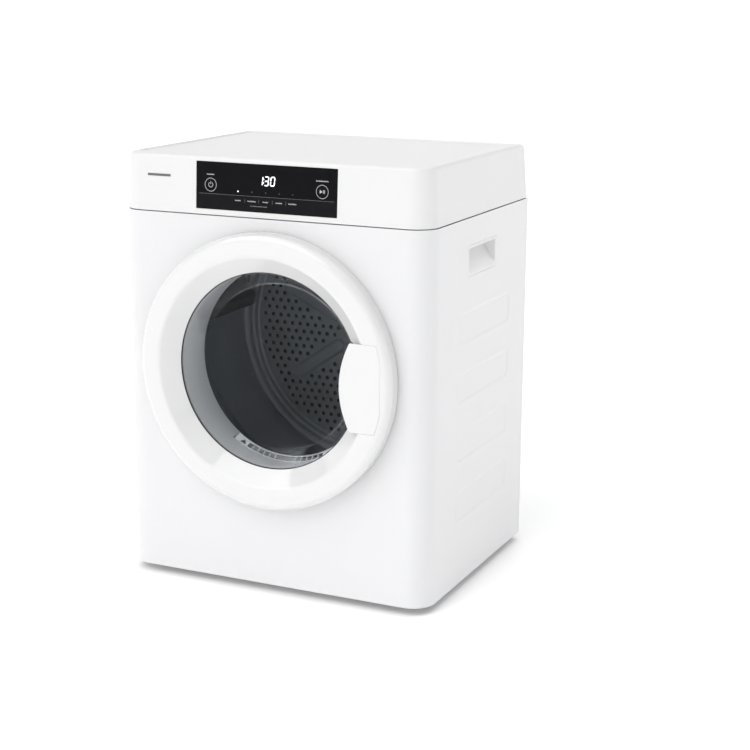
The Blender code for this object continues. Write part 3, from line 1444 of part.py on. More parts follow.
def felt_rings():
    tail = BULKHEAD_REAR + THROAT_TAIL
    inner = THROAT_OUTER + TOUCH
    outer = DRUM_MOUTH - 2 * RUNNING_GAP
    front = [
        (inner, BULKHEAD_REAR + TOUCH),
        (outer, BULKHEAD_REAR + TOUCH),
        (outer, tail - TOUCH),
        (inner, tail - TOUCH),
    ]
    part("front_felt_ring", turned(front, RING_SEGMENTS, DOOR_CENTRE), FELT)
    near, far = DRUM_REAR + 2 * RUNNING_GAP, DRUM_REAR + 0.005
    rear = [
        (PLENUM_RADIUS - 0.004, near),
        (PLENUM_RADIUS + 0.006, near),
        (PLENUM_RADIUS + 0.006, far - TOUCH),
        (PLENUM_RADIUS - 0.004, far - TOUCH),
    ]
    part("rear_felt_ring", turned(rear, RING_SEGMENTS, DOOR_CENTRE), FELT)


def rear_bulkhead():
    """The sheet behind the drum, with the plenum ring, the bearing's seat and the air inlet."""
    sheet = rectangle(-INSIDE + TOUCH, INSIDE - TOUCH, BASE_TOP + TOUCH, CABINET_TOP - OVERRUN)
    front, back = FRONT_Y + REAR_BULKHEAD, FRONT_Y + REAR_BULKHEAD + BULKHEAD_SHEET
    obj = part("rear_bulkhead", prism(sheet, front, back, "Y"), ZINC_STEEL)
    ring = [
        (PLENUM_RADIUS, DRUM_REAR + 0.005),
        (PLENUM_RADIUS + BULKHEAD_SHEET, DRUM_REAR + 0.005),
        (PLENUM_RADIUS + BULKHEAD_SHEET, REAR_BULKHEAD + SHEET),
        (PLENUM_RADIUS, REAR_BULKHEAD + SHEET),
    ]
    join(obj, turned(ring, RING_SEGMENTS, DOOR_CENTRE))
    cut(obj, rod(HOUSING_RADIUS + TOUCH, REAR_BULKHEAD - OVERRUN, REAR_BULKHEAD + 2 * OVERRUN, DOOR_CENTRE))
    duct = exhaust_centre(REAR_BULKHEAD)
    cut(obj, rod(EXHAUST_RADIUS + 2 * DUCT_WALL, -OVERRUN, 2 * OVERRUN, duct, RING_SEGMENTS))
    left, low = HEATER_LOW
    right, high = HEATER_HIGH
    wall = 2 * PLASTIC
    cut(obj, block((left + wall, front - OVERRUN, low + wall), (right - wall, back + OVERRUN, high - wall)))
    return obj


def drum_bearing():
    flange_front = REAR_BULKHEAD + BULKHEAD_SHEET + TOUCH
    seat = REAR_BULKHEAD - 0.004
    near = seat + TOUCH
    far = near + BEARING_WIDTH
    bore = BEARING_RADIUS + TOUCH
    cap = far + SHAFT_LENGTH / 3
    profile = [
        (bore, seat - 0.006),
        (HOUSING_RADIUS, seat - 0.006),
        (HOUSING_RADIUS, flange_front),
        (HOUSING_FLANGE_RADIUS, flange_front),
        (HOUSING_FLANGE_RADIUS, flange_front + 0.004),
        (HOUSING_RADIUS, flange_front + 0.004),
        (HOUSING_RADIUS, cap + 0.004),
        (0, cap + 0.004),
        (0, cap),
        (SHAFT_RADIUS + 0.002, cap),
        (SHAFT_RADIUS + 0.002, far + TOUCH),
        (bore, far + TOUCH),
    ]
    open_line = profile[8:] + profile[:8]
    part("bearing_housing", turned(open_line, SMALL_SEGMENTS, DOOR_CENTRE), ZINC_STEEL)
    ring = [
        (SHAFT_RADIUS + RUNNING_GAP, near),
        (BEARING_RADIUS, near),
        (BEARING_RADIUS, far),
        (SHAFT_RADIUS + RUNNING_GAP, far),
    ]
    part("drum_bearing", turned(ring, SMALL_SEGMENTS, DOOR_CENTRE), ZINC_STEEL)


def roller_place(side):
    reach = DRUM_RADIUS + ROLLER_RADIUS + ROLLER_GAP
    angle = math.radians(ROLLER_ANGLE)
    x = side * reach * math.sin(angle)
    return Vector((x, FRONT_Y, DOOR_AXIS_HEIGHT - reach * math.cos(angle)))


def drum_roller(name, side, pivot):
    place = roller_place(side)
    near = DRUM_FRONT + DRUM_CORNER
    far = near + ROLLER_WIDTH
    wheel = [
        (ROLLER_BORE, near),
        (ROLLER_RADIUS, near),
        (ROLLER_RADIUS, far),
        (ROLLER_BORE, far),
    ]
    part("drum_roller_" + name, turned(wheel, SMALL_SEGMENTS, place), RUBBER, pivot)
    axle = [
        (0, BULKHEAD_REAR + TOUCH),
        (2 * AXLE_RADIUS, BULKHEAD_REAR + TOUCH),
        (2 * AXLE_RADIUS, near - 3 * TOUCH),
        (AXLE_RADIUS, near - 3 * TOUCH),
        (AXLE_RADIUS, far + 2 * TOUCH),
        (1.7 * AXLE_RADIUS, far + 2 * TOUCH),
        (1.7 * AXLE_RADIUS, far + PLASTIC),
        (0, far + PLASTIC),
    ]
    part("roller_axle_" + name, turned(axle, SMALL_SEGMENTS, place), ZINC_STEEL)


def exhaust_duct(outlet_floor, outlet_ceiling):
    """A duct from the blower's outlet, along the base, round a bend and back to the collar."""
    start = Vector((BLOWER_OUTLET_X - TOUCH, FRONT_Y + (BLOWER_FRONT + BLOWER_REAR) / 2))
    bend = Vector((EXHAUST_X + DUCT_BEND, start.y + DUCT_BEND))
    end_y = REAR_Y - SHEET - REAR_FLANGE
    first = start.x - bend.x
    arc = DUCT_BEND * math.pi / 2
    total = first + arc + end_y - bend.y
    low = (outlet_floor + outlet_ceiling) / 2
    mouth = (outlet_ceiling - outlet_floor) / 2
    around = 4 * ARC_STEPS

    def section(length, wall):
        if length < first:
            place, heading = Vector((start.x - length, start.y)), math.pi
        elif length < first + arc:
            turn = (length - first) / DUCT_BEND
            place = bend - DUCT_BEND * Vector((math.sin(turn), math.cos(turn)))
            heading = math.pi - turn
        else:
            place, heading = Vector((EXHAUST_X, bend.y + length - first - arc)), math.pi / 2
        share = min(1, max(0, (length - first) / (2 * arc)))
        share = share * share * (3 - 2 * share)
        radius = mouth + (EXHAUST_RADIUS - mouth) * share - wall
        power = 2 / (8 + (2 - 8) * share)
        height = low + (EXHAUST_HEIGHT - low) * share
        side = Vector((-math.sin(heading), math.cos(heading)))
        ring = []
        for k in range(around):
            angle = math.tau * k / around + math.pi / around
            across = math.copysign(abs(math.cos(angle)) ** power, math.cos(angle)) * radius
            up = math.copysign(abs(math.sin(angle)) ** power, math.sin(angle)) * radius
            ring.append((place.x + side.x * across, place.y + side.y * across, height + up))
        return ring

    count = 16
    lengths = [total * k / count for k in range(count + 1)]
    outer = [section(length, 0) for length in lengths]
    inner = [section(length, DUCT_WALL) for length in lengths]
    part("exhaust_duct", closed_loft(outer + inner[::-1]), DARK_PLASTIC)

    inside = EXHAUST_RADIUS - DUCT_WALL
    near = -REAR_FLANGE - SHEET + TOUCH
    collar = [
        (inside, near),
        (COLLAR_FLANGE_RADIUS, near),
        (COLLAR_FLANGE_RADIUS, -SHEET - TOUCH),
        (COLLAR_RADIUS, -SHEET - TOUCH),
        (COLLAR_RADIUS, COLLAR_PROUD),
        (inside, COLLAR_PROUD),
    ]
    rear = Vector((EXHAUST_X, REAR_Y, EXHAUST_HEIGHT))
    part("exhaust_collar", turned(collar, RING_SEGMENTS, rear), DARK_PLASTIC)


def heater():
    left, low = HEATER_LOW
    right, high = HEATER_HIGH
    front = FRONT_Y + REAR_BULKHEAD + BULKHEAD_SHEET + TOUCH
    back = REAR_Y - REAR_FLANGE
    case = part("heater_housing", block((left, front, low), (right, back, high)), ZINC_STEEL)
    wall = SHEET
    cut(case, block((left + wall, front - OVERRUN, low + wall), (right - wall, back - wall, high - wall)))
    cut(case, together(louvres(back)))
    margin = 0.012
    tooth = (right - left - 2 * margin) / (2 * HEATER_FINS - 1)
    root, tip = front + margin / 2, back - margin
    comb = [(left + margin, root), (right - margin, root)]
    for k in range(HEATER_FINS):
        x = right - margin - 2 * k * tooth
        comb += [(x, tip), (x - tooth, tip)]
        if k < HEATER_FINS - 1:
            comb += [(x - tooth, root + PLASTIC), (x - 2 * tooth, root + PLASTIC)]
    part("heater_core", prism(comb, low + margin, high - margin, "Z"), ZINC_STEEL)


def cord_gland():
    place = Vector((GLAND_X, REAR_Y, GLAND_HEIGHT))
    bore = GLAND_RADIUS / 2
    profile = [
        (bore, -SHEET - TOUCH - PLASTIC),
        (GLAND_RADIUS + PLASTIC, -SHEET - TOUCH - PLASTIC),
        (GLAND_RADIUS + PLASTIC, -SHEET - TOUCH),
        (GLAND_RADIUS, -SHEET - TOUCH),
        (GLAND_RADIUS, GLAND_PROUD / 2),
        (GLAND_RADIUS - 0.002, GLAND_PROUD),
        (bore, GLAND_PROUD),
    ]
    part("cord_gland", turned(profile, SMALL_SEGMENTS, place), DARK_PLASTIC)


def main():
    clear_scene()
    base_pan()
    feet()
    cabinet_shell()
    side_grips()
    rear_panel()
    top_cover()
    control_group()
    door_group(pivot_at("door_axis", HINGE_AXIS))
    hinge_hardware()
    door_catch()
    front_bulkhead()
    lint_filter(pivot_at("lint_filter_axis", DOOR_CENTRE))
    filter_duct()
    floor, ceiling = blower()
    rotor(pivot_at("rotor_axis", MOTOR_AXIS))
    motor()
    drive_belt()
    arm_pivot = pivot_at("idler_arm_axis", Vector((IDLER_PIVOT_X, FRONT_Y, IDLER_PIVOT_HEIGHT)))
    wheel_pivot = pivot_at("idler_pulley_axis", Vector((IDLER_X, FRONT_Y, IDLER_HEIGHT)))
    idler(arm_pivot, wheel_pivot)
    drum_group(pivot_at("drum_axis", DOOR_CENTRE))
    felt_rings()
    rear_bulkhead()
    drum_bearing()
    for name, side in (("left", -1), ("right", 1)):
        drum_roller(name, side, pivot_at(f"roller_{name}_axis", roller_place(side)))
    exhaust_duct(floor, ceiling)
    heater()
    cord_gland()


main()
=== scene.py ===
"""Compact vented tumble dryer: its skin, door, drum and finishes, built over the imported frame."""

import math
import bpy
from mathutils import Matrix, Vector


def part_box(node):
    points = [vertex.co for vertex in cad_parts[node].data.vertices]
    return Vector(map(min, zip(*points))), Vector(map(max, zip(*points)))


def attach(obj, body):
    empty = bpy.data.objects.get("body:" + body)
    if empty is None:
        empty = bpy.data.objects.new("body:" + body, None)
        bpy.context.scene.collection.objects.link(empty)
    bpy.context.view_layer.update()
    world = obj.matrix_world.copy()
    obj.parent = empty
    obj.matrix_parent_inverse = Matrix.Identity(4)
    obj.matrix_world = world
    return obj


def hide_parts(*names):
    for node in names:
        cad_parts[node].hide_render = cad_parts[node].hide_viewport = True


bl_info = {
    "name": "Tumble dryer maker",
    "version": (1, 0, 0),
    "blender": (4, 5, 0),
    "location": "3D View > Sidebar > Dryer",
    "description": "Builds the visible pieces and finishes of a compact vented tumble dryer",
    "category": "Add Mesh",
}

import bmesh
import bpy
from bpy.props import FloatProperty, FloatVectorProperty, PointerProperty
from bpy.types import Operator, Panel, PropertyGroup
from mathutils import Matrix, Vector
from mathutils.geometry import tessellate_polygon

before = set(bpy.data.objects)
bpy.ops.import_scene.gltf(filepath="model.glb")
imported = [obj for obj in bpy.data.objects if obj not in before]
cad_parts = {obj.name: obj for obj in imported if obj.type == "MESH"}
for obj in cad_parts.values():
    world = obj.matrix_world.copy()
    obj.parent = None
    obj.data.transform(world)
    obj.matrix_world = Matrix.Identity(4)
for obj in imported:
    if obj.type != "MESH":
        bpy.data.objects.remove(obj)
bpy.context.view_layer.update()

SHELL_LOW, SHELL_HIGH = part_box("cabinet_shell")
HEAD_LOW, HEAD_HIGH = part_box("top_cover")
RING_LOW, RING_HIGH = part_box("door_outer_ring")
DRUM_LOW, DRUM_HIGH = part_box("drum_shell")
BACK_LOW, BACK_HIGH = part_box("drum_back")
GRIP_LOW, GRIP_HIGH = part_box("side_grip_right")
COLLAR_LOW, COLLAR_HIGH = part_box("exhaust_collar")
BULKHEAD_LOW, BULKHEAD_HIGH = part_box("front_bulkhead")
SLOT_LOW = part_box("lint_filter_frame")[0]
MESH_LOW, MESH_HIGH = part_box("lint_filter_mesh")
PANEL_LOW, PANEL_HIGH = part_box("rear_panel")

FRONT = SHELL_LOW.y
REAR = SHELL_HIGH.y
HALF_WIDTH = SHELL_HIGH.x
SEAM = (SHELL_HIGH.z + HEAD_LOW.z) / 2
AXIS = (RING_LOW.z + RING_HIGH.z) / 2
DOOR_RADIUS = RING_HIGH.x
CROWN = FRONT - RING_LOW.y
WINDOW_RADIUS = 0.149
THROAT_RADIUS = 0.151
PANEL_OPENING = 0.160
SHEET = 0.0012
TOUCH = 0.0003
HEAD_INSET = 0.001
HEAD_TAPER = 0.0046
HEAD_RISE = 0.086
HEAD_TILT = math.atan(HEAD_TAPER / HEAD_RISE)
CORNER = 0.036
HINGE = Vector((-0.1985, FRONT - 0.0148, AXIS))
PRINT = (-0.00006, 0.0002)  # front and back of printed marks, from the control face
KEY_LEVEL = 0.0448
KEY_PLACES = {"power": -0.0972, "start": 0.0860}
BULKHEAD_BACK = 0.0545


# Shader flow -----------------------------------------------------------------------------------


class Flow:
    """A shader socket that takes part in Python sums; each sum adds its Math node."""

    def __init__(self, finish, socket):
        self.finish = finish
        self.socket = socket

    def maths(self, operation, *values):
        """The Math node of an operation on numbers and sockets."""
        inputs = dict(enumerate(values))
        return self.finish.add("ShaderNodeMath", {"operation": operation}, inputs)

    def __add__(self, other):
        return self.maths("ADD", self, other)

    def __radd__(self, other):
        return self.maths("ADD", other, self)

    def __sub__(self, other):
        return self.maths("SUBTRACT", self, other)

    def __rsub__(self, other):
        return self.maths("SUBTRACT", other, self)

    def __mul__(self, other):
        return self.maths("MULTIPLY", self, other)

    def __rmul__(self, other):
        return self.maths("MULTIPLY", other, self)

    def __truediv__(self, other):
        return self.maths("DIVIDE", self, other)

    def __abs__(self):
        return self.maths("ABSOLUTE", self)

    def __mod__(self, other):
        return self.maths("FLOORED_MODULO", self, other)

    def over(self, low, high):
        """0 below low and 1 above high, with a soft rise between."""
        settings = {"interpolation_type": "SMOOTHSTEP"}
        return self.finish.add("ShaderNodeMapRange", settings, {0: self, 1: low, 2: high})


class Finish:
    """One procedural material, and the nodes that make it."""

    def __init__(self, name):
        self.material = bpy.data.materials.new(name)
        self.material.use_nodes = True
        self.tree = self.material.node_tree
        self.tree.nodes.clear()
        self.place = self.add("ShaderNodeTexCoord", output="Object")

    def add(self, kind, settings=(), inputs=(), output=0):
        """A node with its settings and the values or links of its sockets; gives one output."""
        node = self.tree.nodes.new(kind)
        for key, value in dict(settings).items():
            setattr(node, key, value)
        for key, value in dict(inputs).items():
            if isinstance(value, Flow):
                self.tree.links.new(value.socket, node.inputs[key])
            else:
                node.inputs[key].default_value = value
        return Flow(self, node.outputs[output])

    def axes(self, vector=None):
        """The three numbers of a vector, by default of the place on the object."""
        split = self.add("ShaderNodeSeparateXYZ", {}, {0: vector or self.place})
        return [Flow(self, output) for output in split.socket.node.outputs]

    def vector(self, x, y, z):
        return self.add("ShaderNodeCombineXYZ", {}, {0: x, 1: y, 2: z})

    def noise(self, scale, detail=2.0, rough=0.5, where=None):
        inputs = {"Vector": where or self.place, "Scale": scale, "Detail": detail, "Roughness": rough}
        return self.add("ShaderNodeTexNoise", {}, inputs)

    def cells(self, scale, feature="F1", where=None, output="Distance"):
        inputs = {"Vector": where or self.place, "Scale": scale}
        return self.add("ShaderNodeTexVoronoi", {"feature": feature}, inputs, output)

    def blend(self, share, first, second):
        """A colour mix by a share."""
        inputs = {0: share, 6: colour(first), 7: colour(second)}
        return self.add("ShaderNodeMix", {"data_type": "RGBA"}, inputs, 2)

    def bump(self, height, strength, depth):
        inputs = {"Height": height, "Strength": strength, "Distance": depth}
        return self.add("ShaderNodeBump", {}, inputs)

    def surface(self, base, rough, normal=None, more=(), second=None, share=None):
        """The finished surface: a Principled shader, or its mix with a second one by a share."""
        inputs = {"Base Color": base, "Roughness": rough, **dict(more)}
        if normal:
            inputs["Normal"] = normal
        shader = self.add("ShaderNodeBsdfPrincipled", {}, inputs)
        if second:
            shader = self.add("ShaderNodeMixShader", {}, {0: share, 1: second, 2: shader})
        out = self.tree.nodes.new("ShaderNodeOutputMaterial")
        self.tree.links.new(shader.socket, out.inputs["Surface"])
        return self.material


def colour(value):
    """A colour with its alpha, or a link left as it is."""
    if isinstance(value, Flow):
        return value
    return (*value[:3], 1.0)


def shade(value, factor):
    """A colour made lighter or darker."""
    return tuple(min(part * factor, 1.0) for part in value[:3])


MADE = {}


def finish(maker):
    """The material that a maker gives, made at its first use."""
    if maker not in MADE:
        MADE[maker] = maker()
    return MADE[maker]


def tints():
    return bpy.context.scene.dryer_colours


def sizes():
    return bpy.context.scene.dryer_sizes


# Finishes --------------------------------------------------------------------------------------


def enamel():
    """Baked white enamel on steel: a faint orange peel and soft cloudy changes of gloss."""
    made = Finish("white_enamel")
    cloud = made.noise(7.0, 3.0)
    peel = made.noise(420.0, 3.0, 0.6)
    base = made.blend(cloud, shade(tints().enamel, 0.975), tints().enamel)
    rough = 0.30 + cloud * 0.07 + made.noise(90.0) * 0.05
    return made.surface(
        base,
        rough,
        made.bump(peel, 0.10, 0.0004),
        {"Coat Weight": 0.25, "Coat Roughness": 0.25},
    )


def moulding():
    """Satin white moulded plastic with a fine spark-eroded grain and faint flow marks."""
    made = Finish("white_moulding")
    grain = made.noise(1500.0, 2.0, 0.7) + made.cells(900.0) * 0.6
    flow = made.noise(4.0, 4.0)
    base = made.blend(flow, shade(tints().moulding, 0.97), tints().moulding)
    return made.surface(base, 0.34 + flow * 0.08, made.bump(grain, 0.10, 0.00015))


def gloss():
    """High gloss white plastic, with the very slight waviness of a moulded part."""
    made = Finish("gloss_shell")
    wave = made.noise(16.0, 2.0)
    base = made.blend(wave, shade(tints().gloss, 0.98), tints().gloss)
    return made.surface(
        base,
        0.10 + made.noise(60.0, 3.0) * 0.05,
        made.bump(wave, 0.04, 0.004),
        {"Coat Weight": 0.6, "Coat Roughness": 0.04},
    )


def lens_black():
    """Black piano gloss: the strip under the control line is a shade lighter, with a little dust."""
    made = Finish("black_lens")
    height = made.axes()[2]
    strip = 1.0 - (height - (SEAM + sizes().lens_line)).over(-0.0002, 0.0002)
    dust = made.cells(260.0).over(0.0, 0.06)
    base = made.blend(strip, tints().lens, shade(tints().lens, 1.6))
    return made.surface(
        base,
        0.10 - dust * 0.04 + made.noise(30.0, 3.0) * 0.04,
        made.bump(made.noise(20.0), 0.02, 0.003),
        {"Specular IOR Level": 0.05},
    )


def print_grey():
    """Silk-screened print: flat light ink with a slightly uneven edge-to-edge density."""
    made = Finish("printed_marks")
    density = made.noise(900.0, 2.0)
    base = made.blend(density, shade(tints().print, 0.8), tints().print)
    bump = made.bump(density, 0.1, 0.00005)
    return made.surface(base, 0.45 + density * 0.1, bump)


def print_dim():
    """The smaller legends' ink, a darker grey."""
    made = Finish("printed_legends")
    density = made.noise(700.0, 2.0)
    base = made.blend(density, shade(tints().print, 0.30), shade(tints().print, 0.42))
    bump = made.bump(density, 0.1, 0.00005)
    return made.surface(base, 0.5 + density * 0.1, bump)


def lamp_lit():
    """A lit display segment behind its diffuser."""
    made = Finish("lit_display")
    spread = made.noise(500.0, 1.0)
    glow = made.blend(spread, shade(tints().lamp, 0.92), tints().lamp)
    return made.surface(glow, 0.4 + spread * 0.1, None, {"Emission Color": glow, "Emission Strength": 1.1})


def lamp_unlit():
    """A small lamp window that isn't lit."""
    made = Finish("unlit_lamps")
    spread = made.noise(800.0, 1.0)
    base = made.blend(spread, (0.05, 0.05, 0.055), (0.075, 0.075, 0.08))
    bump = made.bump(spread, 0.1, 0.0001)
    return made.surface(base, 0.3 + spread * 0.1, bump)


def badge_metal():
    """Brushed grey metal, drawn along its length."""
    made = Finish("badge_metal")
    x, y, z = made.axes()
    lines = made.noise(1.0, 3.0, 0.6, made.vector(x * 60.0, y * 60.0, z * 4000.0))
    base = made.blend(lines, (0.10, 0.10, 0.11), (0.20, 0.20, 0.21))
    return made.surface(base, 0.30 + lines * 0.15, made.bump(lines, 0.15, 0.0001), {"Metallic": 0.6})


def throat_grey():
    """Light grey moulded plastic with a soft sheen and a fine grain."""
    made = Finish("throat_plastic")
    flow = made.noise(9.0, 3.0)
    grain = made.noise(1300.0, 2.0, 0.7)
    base = made.blend(flow, shade(tints().throat, 0.94), tints().throat)
    return made.surface(base, 0.26 + flow * 0.08, made.bump(grain, 0.08, 0.00015))


def charcoal():
    """Matt dark plastic with a pebbled mould grain."""
    made = Finish("charcoal_plastic")
    pebble = made.cells(800.0, "SMOOTH_F1")
    cloud = made.noise(12.0, 3.0)
    base = made.blend(cloud, shade(tints().charcoal, 0.75), shade(tints().charcoal, 1.15))
    return made.surface(base, 0.45 + cloud * 0.12, made.bump(pebble, 0.25, 0.0002))


def rubber():
    """Black rubber, matt, with fine mould bloom."""
    made = Finish("black_rubber")
    bloom = made.noise(45.0, 4.0)
    grit = made.noise(1600.0, 2.0, 0.7)
    base = made.blend(bloom, (0.018, 0.018, 0.018), (0.045, 0.045, 0.046))
    return made.surface(base, 0.70 + bloom * 0.15, made.bump(grit, 0.25, 0.0002))


def belt_rubber():
    """Ribbed belt rubber: fine lengthwise ribs across the belt's width."""
    made = Finish("ribbed_belt")
    across = made.axes()[1]
    ribs = abs((across * 1.0 + 10.0) % 0.0016 - 0.0008) * 1250.0
    wear = made.noise(30.0, 3.0)
    base = made.blend(wear, (0.02, 0.02, 0.02), (0.06, 0.06, 0.06))
    return made.surface(base, 0.62 + wear * 0.15, made.bump(ribs, 0.5, 0.0006))


def felt():
    """Pressed grey felt, all short tangled fibres."""
    made = Finish("grey_felt")
    fibre = made.noise(700.0, 4.0, 0.8)
    tuft = made.noise(120.0, 3.0)
    base = made.blend(fibre * 0.7 + tuft * 0.3, (0.20, 0.19, 0.18), (0.48, 0.47, 0.45))
    return made.surface(base, 0.95, made.bump(fibre, 0.7, 0.001), {"Sheen Weight": 0.4})


def window_glass():
    """Clear bowl glass: seen through, with mirror-like gloss that grows towards grazing angles."""
    made = Finish("bowl_glass")
    film = made.noise(14.0, 3.0)
    clear = made.add("ShaderNodeBsdfTransparent", {}, {"Color": colour(tints().glass)})
    facing = made.add("ShaderNodeFresnel", {}, {"IOR": 1.5})
    share = (facing - 0.038) * 0.22 + 0.003
    sheen = made.blend(film, (0.90, 0.92, 0.93), (0.98, 0.99, 1.0))
    return made.surface(sheen, 0.02 + film * 0.03, None, {"Metallic": 1.0}, clear, share)


def around(made):
    """The angle about the drum's axis, the radius and the depth."""
    x, y, z = made.axes()
    rise = z - AXIS
    angle = made.add("ShaderNodeMath", {"operation": "ARCTAN2"}, {0: rise, 1: x})
    square = x * x + rise * rise
    radius = made.add("ShaderNodeMath", {"operation": "SQRT"}, {0: square})
    return angle, radius, y


def drum_steel():
    """Dark coated drum steel, brushed around its axis, with soft clouds and fine scuffs."""
    made = Finish("drum_steel")
    angle, radius, depth = around(made)
    sine = made.add("ShaderNodeMath", {"operation": "SINE"}, {0: angle})
    cosine = made.add("ShaderNodeMath", {"operation": "COSINE"}, {0: angle})
    brush = made.noise(
        1.0, 3.0, 0.6, made.vector(sine * 5.0, cosine * 5.0, depth * 700.0 + radius * 700.0)
    )
    cloud = made.noise(16.0, 4.0, 0.6)
    base = made.blend(cloud * 0.7 + brush * 0.3, shade(tints().drum, 0.72), shade(tints().drum, 1.25))
    return made.surface(
        base,
        0.34 + cloud * 0.14 + brush * 0.08,
        made.bump(brush, 0.10, 0.0002),
        {"Metallic": 0.2},
    )


def galvanised():
    """Zinc coated steel with its spangle."""
    made = Finish("galvanised_steel")
    spangle = made.cells(150.0, output="Color")
    tone = made.axes(spangle)[0]
    streak = made.noise(25.0, 3.0)
    base = made.blend(tone, (0.54, 0.55, 0.56), (0.61, 0.62, 0.63))
    return made.surface(
        base,
        0.36 + tone * 0.06 + streak * 0.08,
        made.bump(tone, 0.04, 0.0003),
        {"Metallic": 0.9},
    )


def turned_steel():
    """Machined bright steel with fine tool marks."""
    made = Finish("machined_steel")
    lines = made.noise(1.0, 2.0, 0.6, made.vector(*[part * 900.0 for part in made.axes()]))
    base = made.blend(lines, (0.50, 0.50, 0.51), (0.70, 0.70, 0.71))
    return made.surface(base, 0.22 + lines * 0.15, made.bump(lines, 0.08, 0.0001), {"Metallic": 1.0})


def motor_enamel():
    """Dull grey-black stove enamel on the motor's rolled can."""
    made = Finish("motor_enamel")
    cloud = made.noise(20.0, 4.0)
    grit = made.noise(600.0, 2.0)
    base = made.blend(cloud, (0.10, 0.105, 0.11), (0.17, 0.175, 0.18))
    return made.surface(base, 0.42 + cloud * 0.15, made.bump(grit, 0.2, 0.0002), {"Metallic": 0.3})


def board_green():
    """Circuit board: green solder mask over faint copper runs."""
    made = Finish("board_green")
    x, y, z = made.axes()
    runs = made.cells(1.0, "DISTANCE_TO_EDGE", made.vector(x * 160.0, y * 10.0, z * 320.0))
    track = 1.0 - runs.over(0.02, 0.05)
    base = made.blend(track, (0.012, 0.10, 0.035), (0.03, 0.19, 0.07))
    return made.surface(base, 0.35 + track * 0.1, made.bump(track, 0.3, 0.0001))


def lint_cloth():
    """Fine woven filter cloth: threads over and under, with light between them."""
    made = Finish("lint_cloth")
    places = made.axes()
    pitch = 0.0009
    warp, weft = (abs((places[k] + 1.0) % pitch - pitch / 2) / (pitch / 2) for k in (0, 2))
    thread = made.add("ShaderNodeMath", {"operation": "MAXIMUM"}, {0: warp, 1: weft})
    solid = thread.over(0.45, 0.65)
    base = made.blend(made.noise(60.0, 3.0), (0.55, 0.55, 0.53), (0.78, 0.78, 0.76))
    return made.surface(base, 0.85, made.bump(thread, 0.6, 0.0004), {"Alpha": 0.25 + solid * 0.75})


def heater_red():
    """Oxidised heater fins with a straw to blue heat tint."""
    made = Finish("heater_fins")
    tint = made.noise(18.0, 3.0)
    base = made.blend(tint, (0.22, 0.20, 0.24), (0.42, 0.33, 0.22))
    return made.surface(
        base,
        0.35 + tint * 0.2,
        made.bump(made.noise(300.0), 0.15, 0.0002),
        {"Metallic": 0.85},
    )


def floor_paint():
    """The studio floor: matt, pale and nearly even."""
    made = Finish("studio_floor")
    cloud = made.noise(2.0, 3.0)
    base = made.blend(cloud, shade(tints().floor, 0.985), tints().floor)
    bump = made.bump(made.noise(120.0), 0.02, 0.001)
    return made.surface(base, 0.75 + cloud * 0.1, bump, {"Emission Color": base, "Emission Strength": 0.20})


# Mesh making -----------------------------------------------------------------------------------


class Form:
    """The points and faces of one piece, gathered before they become a mesh."""

    def __init__(self):
        self.points = []
        self.faces = []

    def ring(self, points):
        start = len(self.points)
        self.points.extend(Vector(point) for point in points)
        return list(range(start, len(self.points)))

    def bridge(self, one, two, closed=True):
        count = len(one)
        for k in range(count if closed else count - 1):
            after = (k + 1) % count
            self.faces.append((one[k], one[after], two[after], two[k]))

    def chain(self, rings, closed=True):
        for one, two in zip(rings, rings[1:]):
            self.bridge(one, two, closed)

    def cap(self, *rings):
        """Closes a ring, less any rings inside it."""
        flat = [index for ring in rings for index in ring]
        loops = [[self.points[index] for index in ring] for ring in rings]
        for triple in tessellate_polygon(loops):
            self.faces.append(tuple(flat[index] for index in triple))

    def loft(self, rings, ends=True):
        made = [self.ring(ring) for ring in rings]
        self.chain(made)
        if ends:
            self.cap(made[0])
            self.cap(made[-1])
        return made

    def slab(self, outer, holes, low, high, way="Y"):
        """A plate between two levels, with holes through it."""
        sides = []
        for level in (low, high):
            rings = [self.ring(lift(loop, level, way)) for loop in (outer, *holes)]
            self.cap(*rings)
            sides.append(rings)
        for one, two in zip(*sides):
            self.bridge(one, two)
        return self

    def lathe(self, profile, count=144, centre=None, way="Y", closed=True):
        """A section of (radius, station) points swept round an axis through the centre."""
        centre = centre or Vector((0, 0, AXIS))
        rings = []
        for k in range(count):
            angle = math.tau * k / count
            side, rise = math.cos(angle), math.sin(angle)
            loop = []
            for radius, station in profile:
                flat = (radius * side, radius * rise)
                loop.append(centre + lift([flat], station, way)[0])
            rings.append(self.ring(loop))
        for k in range(count):
            self.bridge(rings[k], rings[(k + 1) % count], closed)
        return self

    def join(self, other, matrix=None):
        start = len(self.points)
        self.points.extend((matrix @ point) if matrix else point.copy() for point in other.points)
        self.faces.extend(tuple(index + start for index in face) for face in other.faces)
        return self

    def moved(self, matrix):
        self.points = [matrix @ point for point in self.points]
        return self


def lift(loop, level, way):
    """Flat (across, up) points set at a level along an axis."""
    if way == "Y":
        return [Vector((a, level, b)) for a, b in loop]
    if way == "Z":
        return [Vector((a, b, level)) for a, b in loop]
    return [Vector((level, a, b)) for a, b in loop]


def circle(radius, count=96, centre=(0, 0), start=0.0):
    angles = [start + math.tau * k / count for k in range(count)]
    return [(centre[0] + radius * math.cos(a), centre[1] + radius * math.sin(a)) for a in angles]


